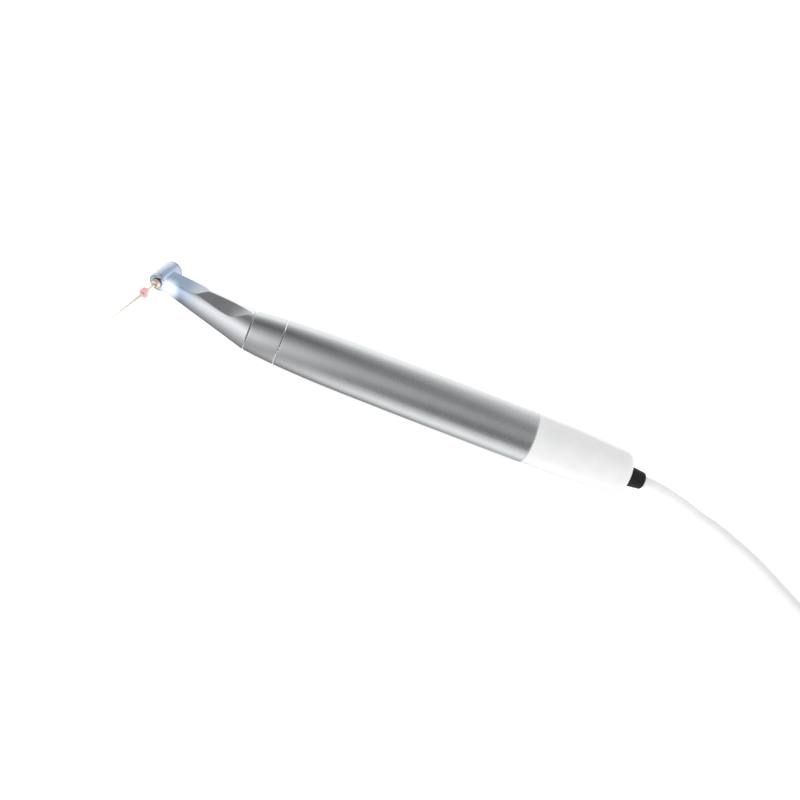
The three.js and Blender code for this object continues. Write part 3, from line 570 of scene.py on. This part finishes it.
def loop_points(grow):
    """The strap's round-cornered loop across the bundle, grown outwards by some millimetres."""
    reach = TIE_CORNER + grow
    low, high = tie_floor - grow, tie_roof + grow
    corners = [
        (tie_in - grow, low, reach),
        (tie_out + grow, low, reach),
        (tie_out + grow, high, reach),
        (tie_in - grow, high, reach),
    ]
    return curve_through(corners, steps=8)


tie_mesh = bmesh.new()
half = TIE_WIDTH / 2
section = [(-half, TIE_BEVEL), (-half + TIE_BEVEL, 0), (half - TIE_BEVEL, 0), (half, TIE_BEVEL)]
section += [(half, TIE_THICKNESS - TIE_BEVEL), (half - TIE_BEVEL, TIE_THICKNESS)]
section += [(-half + TIE_BEVEL, TIE_THICKNESS), (-half, TIE_THICKNESS - TIE_BEVEL)]
tie_rows = []
for across, grow in section:
    tie_rows.append([tie_place @ (Vector((x, across, z)) * MM) for x, z in loop_points(grow)])
grid(tie_mesh, tie_rows, closed_rows=True)
tie_strap = finish_mesh("tie_strap", tie_mesh, "black_rubber", "motor_handpiece", ("coil_tie",))

PLUG = frame_matrix(plug_back, plug_axis, SIDE)
relief_steps = [(0, 0), (0, 3.0, 0.3)]
RELIEF_GROOVES = 4
for i in range(RELIEF_GROOVES):
    start = 1.2 + 1.8 * i
    relief_steps += [(start, 3.15, 0.2), (start + 0.1, 2.75, 0.1)]
    relief_steps += [(start + 0.8, 2.75, 0.1), (start + 0.9, 3.2, 0.2)]
relief_steps += [(PLUG_RELIEF, 3.3), (PLUG_RELIEF, 0)]
plug_relief = turned(
    "plug_boot",
    relief_steps,
    PLUG,
    "black_rubber",
    "motor_handpiece",
    ("plug_strain_relief",),
    segments=48,
)


def grip(angle, along, radius):
    """Grip flutes round the middle of the plug's body."""
    fade = smooth_step(along, 12.5, 14) * (1 - smooth_step(along, 20.5, 22))
    return radius - 0.35 * fade * (0.5 - 0.5 * math.cos(16 * angle)) ** 2


body_steps = [(9.1, 0), (9.1, 4.9, 0.6), (11.1, 6.5, 0.8), (12.4, 7.0, 0.6)]
body_steps += [(x, 7.0) for x in np.linspace(13, 22, 19)]
body_steps += [(24.1, 7.0, 0.6), (24.1, 0)]
plug_grip = turned(
    "plug_grip",
    body_steps,
    PLUG,
    "black_rubber",
    "motor_handpiece",
    ("plug_body",),
    segments=128,
    shape=grip,
)
collar_steps = [(24.2, 4.35, 0.1), (24.2, 5.2, 0.25), (25.6, 5.2, 0.15), (25.8, 4.95, 0.1)]
collar_steps += [(26.4, 4.95, 0.1), (26.6, 5.2, 0.15), (32.7, 5.2, 0.35), (32.7, 4.35, 0.2)]
plug_collar = turned(
    "plug_collar", collar_steps, PLUG, "steel", "motor_handpiece", ("plug_shell",), segments=72
)

# ---- Motor handpiece -----------------------------------------------------------------------------

collar_end = along_x(collar_high.x)
barrel_front = along_x(barrel_low.x)
barrel_rear = along_x(barrel_high.x)
cover_rear = along_x(cover_high.x)
BARREL_RADIUS = (barrel_high.z - barrel_low.z) / 2 / MM
OUTLINE = [  # (place, radius) of the outside from the collar to the rear, taken along the axis
    (0, 7.7),
    (5.2, 8.32),
    (8.9, 8.66),
    (12.5, 8.94),
    (16.4, 9.18),
    (20.2, 9.38),
    (24, 9.57),
    (27.8, 9.72),
    (35.4, 9.93),
    (50.7, 10.12),
    (66.2, 10.27),
    (82, 10.34),
    (98, 10.39),
    (108, 10.4),
    (115.6, 10.4),
    (122, 10.36),
    (130, 10.24),
    (138.3, 9.98),
    (146.5, 9.56),
    (154.8, 9.05),
]


def outline_radius(x):
    """The outside's radius at a place behind the neck's seam, as a smooth curve through OUTLINE."""
    xs = [p[0] for p in OUTLINE]
    ys = [p[1] for p in OUTLINE]
    slopes = np.gradient(ys, xs)
    i = int(np.clip(np.searchsorted(xs, x) - 1, 0, len(xs) - 2))
    span = xs[i + 1] - xs[i]
    u = (x - xs[i]) / span
    a = (1 + 2 * u) * (1 - u) ** 2 * ys[i] + u * (1 - u) ** 2 * span * slopes[i]
    b = u * u * (3 - 2 * u) * ys[i + 1] + u * u * (u - 1) * span * slopes[i + 1]
    return min(a + b, BARREL_RADIUS)


def outline(start, end, count):
    return [(x, outline_radius(x)) for x in np.linspace(start, end, count)]


EDGE = 0.16  # the small bevels along the seams
front_bore = 8.15
barrel_bore = BARREL_RADIUS - 1.35
bore_step = 31.6
barrel_steps = [(barrel_front, front_bore, 0.2), (barrel_front, outline_radius(barrel_front), EDGE)]
barrel_steps += outline(barrel_front + 1, barrel_rear - 1, 60)
barrel_steps += [(barrel_rear, BARREL_RADIUS, EDGE), (barrel_rear, barrel_bore, 0.1)]
barrel_steps += [(bore_step, barrel_bore), (bore_step, front_bore)]
turned(
    "barrel",
    barrel_steps,
    BARREL,
    "satin_silver",
    "motor_handpiece",
    ("barrel_shell",),
    segments=160,
)

COVER_GAP = 0.08
cover_front = barrel_rear + COVER_GAP
sleeve_front = along_x(cover_low.x)
sleeve_radius = barrel_bore - 0.05
cover_bore = sleeve_radius - 1.6
wall_bore = 3.35
wall_front = cover_rear - 3.6
cover_steps = [(sleeve_front, sleeve_radius, 0.2), (cover_front, sleeve_radius)]
cover_steps += [(cover_front, BARREL_RADIUS, 0.12)]
cover_steps += outline(cover_front + 1, cover_rear - 4.2, 30)
cover_steps += [(cover_rear, outline_radius(cover_rear - 3.5) - 0.15, 3.4)]
cover_steps += [(cover_rear, wall_bore + 1.2, 0.2), (cover_rear - 0.25, wall_bore + 1.05, 0.1)]
cover_steps += [(cover_rear - 0.25, wall_bore), (wall_front, wall_bore)]
cover_steps += [(wall_front, cover_bore - 1.5), (cover_rear - 9, cover_bore)]
cover_steps += [(sleeve_front, cover_bore)]
turned(
    "rear_cap", cover_steps, BARREL, "white_gloss", "motor_handpiece", ("rear_cover",), segments=160
)

relief_tip = along_x(relief_end)
relief_front = along_x(relief_low.x)
relief_base = 4.2
cord_bore = CORD_RADIUS + 0.05
boot_steps = [(relief_front, relief_base + 0.4), (wall_front - 0.1, relief_base + 0.4)]
boot_steps += [(wall_front - 0.1, wall_bore - 0.1), (cover_rear + 0.1, wall_bore - 0.1)]
boot_steps += [(cover_rear + 0.1, relief_base + 0.05, 0.2), (cover_rear + 0.9, relief_base, 0.3)]
boot_steps += [(cover_rear + 4.5, relief_base - 0.42, 1.4), (relief_tip, 3.42, 0.8)]
boot_steps += [(relief_tip, cord_bore, 0.25), (relief_front, cord_bore)]
turned(
    "cord_boot",
    boot_steps,
    BARREL,
    "black_rubber",
    "motor_handpiece",
    ("strain_relief",),
    segments=72,
)

# ---- Contra-angle --------------------------------------------------------------------------------

nose_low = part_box("motor_nose")[0]
SPIGOT = 4.83
collar_seat = along_x(nose_low.x) - 0.3
collar_front = SEAM_GAP / 2
collar_profile = [(collar_front, 4.2, 0.1), (collar_front, 7.7, EDGE)]
collar_profile += outline(collar_front + 0.8, collar_end - 0.8, 12)
collar_profile += [(collar_end, outline_radius(collar_end), EDGE), (collar_end, SPIGOT, 0.3)]
collar_profile += [(collar_seat, SPIGOT), (collar_seat, 4.2)]
collar = turned(
    "collar_ring", collar_profile, BARREL, "satin_silver", "contra_angle", ("collar",), segments=160
)
pin_low, pin_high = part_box("index_pin")
pin_circle = (pin_low.y + pin_high.y) / 2 - axis_y
pin_place = frame_matrix(Vector((seam, axis_y + pin_circle, axis_z)), BACK, Vector((0, 1, 0)))
PIN_BORE = 0.73
carve(collar, cutter_rod(pin_place, along_x(pin_low.x) - 1, collar_end + 1, PIN_BORE))

# Each side of the neck has two flat facets in a row, and both run out in a point towards the seam.
# A facet is cut square to a direction that leans away from the push button, by degrees from
# straight sideways. Its half width is in degrees of the neck's round section.
# Each row is (distance from the seam, lean, half width).
REAR_FACET = [
    (1.0, -2, 0),
    (2.0, 0, 6),
    (4.0, 6, 16),
    (6.0, 12, 22),
    (8.0, 16, 28),
    (13.0, 17, 28),
    (19.0, 17, 22.5),
    (23.0, 17, 18),
    (38.5, 17, 12),
]
FRONT_FACET = [
    (17.8, 2, 0),
    (19.0, 2, 6),
    (21.0, 2, 19),
    (23.0, 2, 32),
    (25.0, 2, 39),
    (27.0, 2, 44),
    (38.5, 2, 45),
]
FACET_BLEND = 1.6  # a facet curves smoothly along the neck over that length
SEAM_RADIUS = 7.68
TIP_RADIUS = 4.35  # beside the head
HEAD_RADIUS = 3.65
HEAD_GAP = 0.14
bend_back = along_x(bend_point.x)  # below zero: the bend lies in front of the seam
loft_end = neck_length - 0.2  # the loft's front ring lies just behind the head's axis
loft_length = loft_end - bend_back
head_wall = neck_length - HEAD_RADIUS
taper = (SEAM_RADIUS - TIP_RADIUS) / (head_wall - bend_back)
loft_radius = TIP_RADIUS - taper * (loft_end - head_wall)
BORE_REAR, BORE_FRONT = 3.3, 2.3
BORE_ROWS = 12
seam_place = Vector((seam - SEAM_GAP / 2 * MM, axis_y, axis_z))
loft_place = bend_point + FORWARD * (loft_end * MM)
ACROSS = Vector((0, 1, 0))


def facet_limit(facet, distance, radius, across):
    """How far to the side the neck reaches where the facet cuts it, in millimetres."""
    places, leans, half_widths = zip(*facet)
    if distance < places[0]:
        return radius
    nearby = np.linspace(max(places[0], distance - FACET_BLEND), distance + FACET_BLEND, 9)
    lean = math.radians(np.interp(nearby, places, leans).mean())
    half_width = math.radians(np.interp(nearby, places, half_widths).mean())
    return (radius * math.cos(half_width) + across * math.sin(lean)) / math.cos(lean)


def neck_point(angle, share, rear_radius, front_radius, facets, inset=0.0):
    """A point of the neck between its rings at the seam and at the head, sunk in by inset."""
    rear_radius -= inset
    front_radius -= inset
    rear = seam_place + (ACROSS * math.cos(angle) + SIDE * math.sin(angle)) * (rear_radius * MM)
    front = loft_place + (HEAD_UP * math.cos(angle) + SIDE * math.sin(angle)) * (front_radius * MM)
    point = rear.lerp(front, share)
    if facets:
        radius = rear_radius + (front_radius - rear_radius) * share + inset
        across = radius * math.cos(angle)
        distance = share * loft_length
        reach = min(facet_limit(f, distance, radius, across) for f in (REAR_FACET, FRONT_FACET))
        limit = reach * MM - inset * MM
        point.z = axis_z + max(-limit, min(limit, point.z - axis_z))
    return point


def share_at_head(angle, rear_radius, front_radius, facets):
    """Where that line of the neck meets the head's round wall."""
    low, high = 0.6, 1.0
    for _ in range(30):
        middle = (low + high) / 2
        offset = neck_point(angle, middle, rear_radius, front_radius, facets) - head_centre
        offset -= HEAD_UP * offset.dot(HEAD_UP)
        if offset.length > (HEAD_RADIUS + HEAD_GAP) * MM:
            low = middle
        else:
            high = middle
    return low


GROOVE_BACK = 1.9  # a fine groove runs round the neck that far behind the head's wall
GROOVE_DEPTH = 0.09
GROOVE_CLEAR, GROOVE_EDGE, GROOVE_FLOOR = 0.005, 0.0045, 0.0028  # from its middle, in shares
NECK_COLUMNS = 216
NECK_ROWS = 200
NECK_SHARP = 11  # degrees; the facets' edges are shallow
angles = [2 * math.pi * j / NECK_COLUMNS for j in range(NECK_COLUMNS)]
neck_mesh = bmesh.new()
outer = [(a, share_at_head(a, SEAM_RADIUS, loft_radius, True)) for a in angles]
inner = [(a, share_at_head(a, BORE_REAR, BORE_FRONT, False)) for a in angles]
BEVEL_ROWS = [(0.0, 0.14), (0.0015, 0.05), (0.004, 0.0)]  # (share of the length, inset)
neck_rows = []
for share, inset in BEVEL_ROWS:
    radius = SEAM_RADIUS - inset
    neck_rows.append([neck_point(a, share * end, radius, loft_radius, True) for a, end in outer])
groove_share = 1 - GROOVE_BACK / (head_wall - bend_back)
outer_shares = [(i / NECK_ROWS, 0) for i in range(2, NECK_ROWS + 1)]
outer_shares = [row for row in outer_shares if abs(row[0] - groove_share) > GROOVE_CLEAR]
for side in (-1, 1):
    outer_shares.append((groove_share + side * GROOVE_EDGE, 0))
    outer_shares.append((groove_share + side * GROOVE_FLOOR, GROOVE_DEPTH))
for share, inset in sorted(outer_shares):
    neck_rows.append(
        [neck_point(a, share * end, SEAM_RADIUS, loft_radius, True, inset) for a, end in outer]
    )
for i in range(BORE_ROWS, -1, -1):
    share = i / BORE_ROWS
    neck_rows.append([neck_point(a, share * end, BORE_REAR, BORE_FRONT, False) for a, end in inner])
grid(neck_mesh, neck_rows, closed_rows=True)
neck = finish_mesh(
    "neck",
    neck_mesh,
    "satin_silver",
    "contra_angle",
    ("neck_housing",),
    material=bright,
    sharp=NECK_SHARP,
)

lens_offset = (lens_middle - bend_point).dot(FORWARD)
lens_place = frame_matrix(bend_point + FORWARD * lens_offset, -HEAD_UP, FORWARD)
LENS_RADIUS = 1.0
carve(neck, cutter_rod(lens_place, 2.4, 8, LENS_RADIUS + 0.05))
lens_steps = [(2.5, 0), (2.5, LENS_RADIUS, 0.1), (4.3, LENS_RADIUS, 0.3)]
lens_steps += [(4.62, 0.62, 0.25), (4.72, 0)]
turned(
    "lamp_lens",
    lens_steps,
    lens_place,
    "clear_glass",
    "contra_angle",
    ("light_lens",),
    segments=40,
    material=lamp,
)

# ---- Head ----------------------------------------------------------------------------------------

head_bottom = head_level("head_housing", False)
head_seam = head_level("head_housing", True)
cap_bottom = head_level("back_cap", False)
head_top = head_level("back_cap", True)
HEAD_BORE = 3.0
CHUCK_HOLE = 1.85
head_floor = head_bottom + 0.65
head_steps = [(head_bottom + 0.25, CHUCK_HOLE, 0.08), (head_bottom + 0.25, 2.55, 0.1)]
head_steps += [(head_bottom, 2.75, 0.08)]
head_steps += [(head_bottom, HEAD_RADIUS - 0.35, 0.12), (head_bottom + 0.35, HEAD_RADIUS, 0.2)]
head_steps += [(head_bottom + 0.95, HEAD_RADIUS, 0.05)]
head_steps += [(head_bottom + 1.05, HEAD_RADIUS - 0.07, 0.03)]
head_steps += [(head_bottom + 1.15, HEAD_RADIUS, 0.05)]
head_steps += [(head_seam, HEAD_RADIUS, 0.12), (head_seam, HEAD_BORE)]
head_steps += [(head_floor, HEAD_BORE), (head_floor, CHUCK_HOLE)]
head = turned(
    "head_shell", head_steps, HEAD, "bright_silver", "contra_angle", ("head_housing",), segments=128
)
SHAFT_HOLE = 1.8  # the neck's shaft comes in through it
shaft_place = frame_matrix(head_centre, -FORWARD, HEAD_UP)
carve(head, cutter_rod(shaft_place, 0, 6, SHAFT_HOLE))

BUTTON_RADIUS = 2.7
BUTTON_HOLE = BUTTON_RADIUS + 0.08
cap_steps = [(cap_bottom, BUTTON_HOLE), (cap_bottom, HEAD_RADIUS, 0.12)]
cap_steps += [(head_top - 0.75, HEAD_RADIUS, 0.3), (head_top - 0.12, HEAD_RADIUS - 0.42, 0.35)]
cap_steps += [(head_top, BUTTON_RADIUS + 0.2, 0.08), (head_top - 0.1, BUTTON_HOLE)]
turned(
    "head_cap", cap_steps, HEAD, "bright_silver", "contra_angle", ("back_cap",), segments=128
)

button_bottom = head_level("push_button", False)
button_top = head_level("push_button", True)
button_steps = [(button_bottom, 0), (button_bottom, BUTTON_RADIUS, 0.15)]
button_steps += [(button_top - 0.12, BUTTON_RADIUS, 0.42), (button_top, 1.75, 0.35)]
button_steps += [(button_top - 0.12, 1.2, 0.3), (button_top - 0.16, 0)]
turned("head_button", button_steps, HEAD, "bright_silver", "button", ("push_button",))

# The button's spring, which the button squeezes.
spring_low = head_level("button_spring", False)
spring_high = head_level("button_spring", True)
SPRING_WIRE = 0.14
SPRING_RADIUS = 1.9
SPRING_TURNS = 3
WIRE_SIDES = 10
spring_mesh = bmesh.new()
spring_rows = []
spring_steps = 40 * SPRING_TURNS
spring_climb = spring_high - spring_low - 2 * SPRING_WIRE  # of the wire's middle
for i in range(spring_steps + 1):
    angle = 2 * math.pi * SPRING_TURNS * i / spring_steps
    height = spring_low + SPRING_WIRE + spring_climb * i / spring_steps
    ring = []
    for j in range(WIRE_SIDES):
        turn = 2 * math.pi * j / WIRE_SIDES
        radius = SPRING_RADIUS + SPRING_WIRE * math.cos(turn)
        level = height + SPRING_WIRE * math.sin(turn)
        point = Vector((radius * math.cos(angle), radius * math.sin(angle), level))
        ring.append(HEAD @ (point * MM))
    spring_rows.append(ring)
grid(spring_mesh, spring_rows)
spring = finish_mesh("head_spring", spring_mesh, "steel", "contra_angle", ("button_spring",))
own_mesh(spring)

# ---- File ----------------------------------------------------------------------------------------

blade_top = head_level("file_blade", True)
blade_tip = head_level("file_blade", False)
handle_top = head_level("file_handle", True)
handle_bottom = head_level("file_handle", False)
CUTTING_LENGTH = 16.0
FLUTES = 3
FLUTE_DEPTH = 0.34  # as a share of the blade's radius
BLADE_TIP_RADIUS = 0.13
BLADE_GROWTH = 0.42  # in radius, over the cutting length


def blade_radius(level):
    share = min(1, (level - blade_tip) / CUTTING_LENGTH)
    return BLADE_TIP_RADIUS + BLADE_GROWTH * share


def flutes(angle, along, radius):
    """Three flutes wind round the cutting part, opening out towards its top."""
    fade = 1 - smooth_step(along, blade_tip + CUTTING_LENGTH - 2, blade_tip + CUTTING_LENGTH)
    turns = 0.62 * (along - blade_tip) - 0.011 * (along - blade_tip) ** 2
    wave = 0.5 - 0.5 * math.cos(FLUTES * (angle - 2 * math.pi * turns / FLUTES * 1.2))
    return radius * (1 - FLUTE_DEPTH * fade * wave)


blade_profile = [(blade_tip, 0), (blade_tip + 0.05, 0.07), (blade_tip + 0.25, 0.14)]
for level in np.linspace(blade_tip + 0.4, blade_tip + CUTTING_LENGTH, 200):
    blade_profile.append((level, blade_radius(level)))
blade_profile += [(blade_top, 0.55), (blade_top, 0)]
turned(
    "blade",
    blade_profile,
    HEAD,
    "file_gold",
    "file",
    ("file_blade",),
    segments=30,
    shape=flutes,
    sharp=50,
)

HANDLE_RADIUS = 1.6
handle_steps = [(handle_bottom, 0), (handle_bottom, 1.15, 0.12)]
handle_steps += [(handle_bottom + 0.35, HANDLE_RADIUS, 0.15)]
handle_steps += [(handle_bottom + 0.75, HANDLE_RADIUS, 0.04), (handle_bottom + 0.8, 1.5)]
handle_steps += [(handle_bottom + 1.3, 1.5), (handle_bottom + 1.35, HANDLE_RADIUS, 0.04)]
handle_steps += [(handle_top, HANDLE_RADIUS, 0.12), (handle_top, 0)]
turned("handle", handle_steps, HEAD, "file_gold", "file", ("file_handle",), segments=72)
band_low, band_high = handle_bottom + 0.81, handle_bottom + 1.29
band_steps = [(band_low, 1.51), (band_low, 1.59, 0.03), (band_high, 1.59, 0.03), (band_high, 1.51)]
turned("handle_band", band_steps, HEAD, "stopper_red", "file", segments=72, material=red_band)

stop_low = head_level("depth_stopper", False)
stop_high = head_level("depth_stopper", True)
STOPPER_RADIUS = 1.85
STOPPER_HOLE = 0.62
NOTCH_ANGLE = 2.1
stop_steps = [(stop_low, STOPPER_HOLE, 0.1), (stop_low, STOPPER_RADIUS, 0.55)]
stop_steps += [(stop_high, STOPPER_RADIUS, 0.55), (stop_high, STOPPER_HOLE, 0.1)]


def notch(angle, along, radius):
    """A small mark in the stopper's rim, which shows the tooth's side."""
    off = abs((angle - NOTCH_ANGLE + math.pi) % (2 * math.pi) - math.pi)
    return radius - 0.22 * (1 - smooth_step(off, 0.05, 0.22)) * smooth_step(radius, 1.3, 1.8)


turned("stopper", stop_steps, HEAD, "stopper_red", "stopper", ("depth_stopper",), shape=notch)

# ---- Floor and light -----------------------------------------------------------------------------

paper = Nodes("floor_paper", (0.86, 0.86, 0.865), 0.9)
paper.set("Emission Color", (1, 1, 1, 1)).set("Emission Strength", 0.58)
floor_mesh = bmesh.new()
bmesh.ops.create_grid(floor_mesh, x_segments=1, y_segments=1, size=4)
floor = finish_mesh("floor", floor_mesh, "steel", None, (), material=paper)
floor.visible_glossy = False  # the metal's underside shows the studio, not a white table

world = bpy.data.worlds.new("studio")
bpy.context.scene.world = world
world.use_nodes = True
tree = world.node_tree
background = tree.nodes["Background"]
direction = tree.nodes.new("ShaderNodeTexCoord").outputs["Generated"]
split = tree.nodes.new("ShaderNodeSeparateXYZ")
tree.links.new(direction, split.inputs["Vector"])
front = tree.nodes.new("ShaderNodeMath")
front.operation = "MULTIPLY"
front.inputs[1].default_value = -1
tree.links.new(split.outputs["Y"], front.inputs[0])
arc = tree.nodes.new("ShaderNodeMath")  # 0 at the front horizon, a half turn at the one behind
arc.operation = "ARCTAN2"
tree.links.new(split.outputs["Z"], arc.inputs[0])
tree.links.new(front.outputs["Value"], arc.inputs[1])
turn_share = tree.nodes.new("ShaderNodeMath")
turn_share.operation = "MULTIPLY_ADD"
turn_share.inputs[1].default_value = 0.5 / math.pi
turn_share.inputs[2].default_value = 0.5
tree.links.new(arc.outputs["Value"], turn_share.inputs[0])


def ramp(stops):
    """Brightness over the arc, from stops of (degrees, brightness)."""
    made = tree.nodes.new("ShaderNodeValToRGB")
    made.color_ramp.interpolation = "EASE"
    elements = made.color_ramp.elements
    while len(elements) < len(stops):
        elements.new(0.5)
    for element, (degrees, level) in zip(elements, stops):
        element.position = degrees / 360 + 0.5
        element.color = (level, level, level, 1)
    tree.links.new(turn_share.outputs["Value"], made.inputs["Fac"])
    return made.outputs["Color"]


# The arc is at 0 degrees at the front horizon and at 90 straight up. Below 0 it goes down past the
# front of the table. The metal sees these stops as soft boxes with dark gaps between them.
NECK_ARC = [(-180, 1.2), (-160, 1.0), (-138, 0.32), (-105, 0.34), (-75, 0.42), (-45, 0.58)]
NECK_ARC += [(-15, 0.84), (14, 1.1), (32, 1.04), (50, 0.74), (68, 0.38), (90, 0.26), (112, 0.32)]
NECK_ARC += [(135, 0.5), (152, 0.76), (180, 1.2)]
COLLAR_ARC = [(-180, 1.15), (-158, 1.1), (-138, 0.26), (-105, 0.22), (-80, 0.34), (-60, 0.43)]
COLLAR_ARC += [(-35, 0.41), (-15, 0.52), (14, 0.74), (32, 0.71), (52, 0.5), (72, 0.26), (96, 0.08)]
COLLAR_ARC += [(118, 0.22), (137, 0.6), (153, 1.12), (180, 1.2)]
BARREL_ARC = [(-180, 1.12), (-155, 1.1), (-135, 0.6), (-115, 0.4), (-99, 0.3), (-78, 0.84)]
BARREL_ARC += [(-60, 1.16), (-44, 0.96), (-28, 0.6), (-10, 0.2), (8, 0.2), (30, 0.42), (48, 0.45)]
BARREL_ARC += [(70, 0.28), (92, 0.24), (112, 0.36), (137, 0.62), (155, 1.02), (180, 1.15)]
REAR_ARC = [(-180, 1.1), (-150, 1.1), (-128, 1.05), (-104, 0.6), (-88, 0.72), (-64, 1.16)]
REAR_ARC += [(-46, 1.1), (-28, 0.76), (-12, 0.2), (4, 0.04), (20, 0.08), (45, 0.19), (74, 0.15)]
REAR_ARC += [(94, 0.32), (112, 0.54), (140, 0.68), (180, 1.05)]
ZONES = [  # (how far the direction points towards the cord's end, the arc's brightness there)
    (-0.9, ramp([(-180, 1.0), (180, 1.0)])),
    (-0.55, ramp(NECK_ARC)),
    (-0.14, ramp(COLLAR_ARC)),
    (0.13, ramp(BARREL_ARC)),
    (0.31, ramp(REAR_ARC)),
    (0.5, ramp([(-180, 0.95), (180, 0.95)])),
    (0.9, ramp([(-180, 1.1), (180, 1.1)])),
]
light = ZONES[0][1]
for (start, _), (end, color) in zip(ZONES, ZONES[1:]):
    share = tree.nodes.new("ShaderNodeMapRange")
    share.inputs["From Min"].default_value = start
    share.inputs["From Max"].default_value = end
    tree.links.new(split.outputs["X"], share.inputs["Value"])
    mixed = tree.nodes.new("ShaderNodeMix")
    mixed.data_type = "RGBA"
    tree.links.new(share.outputs["Result"], mixed.inputs["Factor"])
    tree.links.new(light, mixed.inputs["A"])
    tree.links.new(color, mixed.inputs["B"])
    light = mixed.outputs["Result"]
tree.links.new(light, background.inputs["Color"])
background.inputs["Strength"].default_value = 1.0

key_data = bpy.data.lights.new("key", "SUN")
key_data.energy = 0.8
key_data.angle = math.radians(70)
key = bpy.data.objects.new("key", key_data)
key.rotation_euler = (math.radians(28), math.radians(-8), 0)
key.visible_glossy = False
bpy.context.scene.collection.objects.link(key)

glow_data = bpy.data.lights.new("lamp_glow", "POINT")
glow_data.energy = 0.003
glow_data.color = (0.72, 0.85, 1.0)
glow_data.shadow_soft_size = 0.003
glow = bpy.data.objects.new("lamp_glow", glow_data)
glow.visible_glossy = False
GLOW_OUT = 6.6  # from the neck's axis, in millimetres, clear of the lens
glow.location = lens_place @ Vector((0, 0, GLOW_OUT * MM))
bpy.context.scene.collection.objects.link(glow)
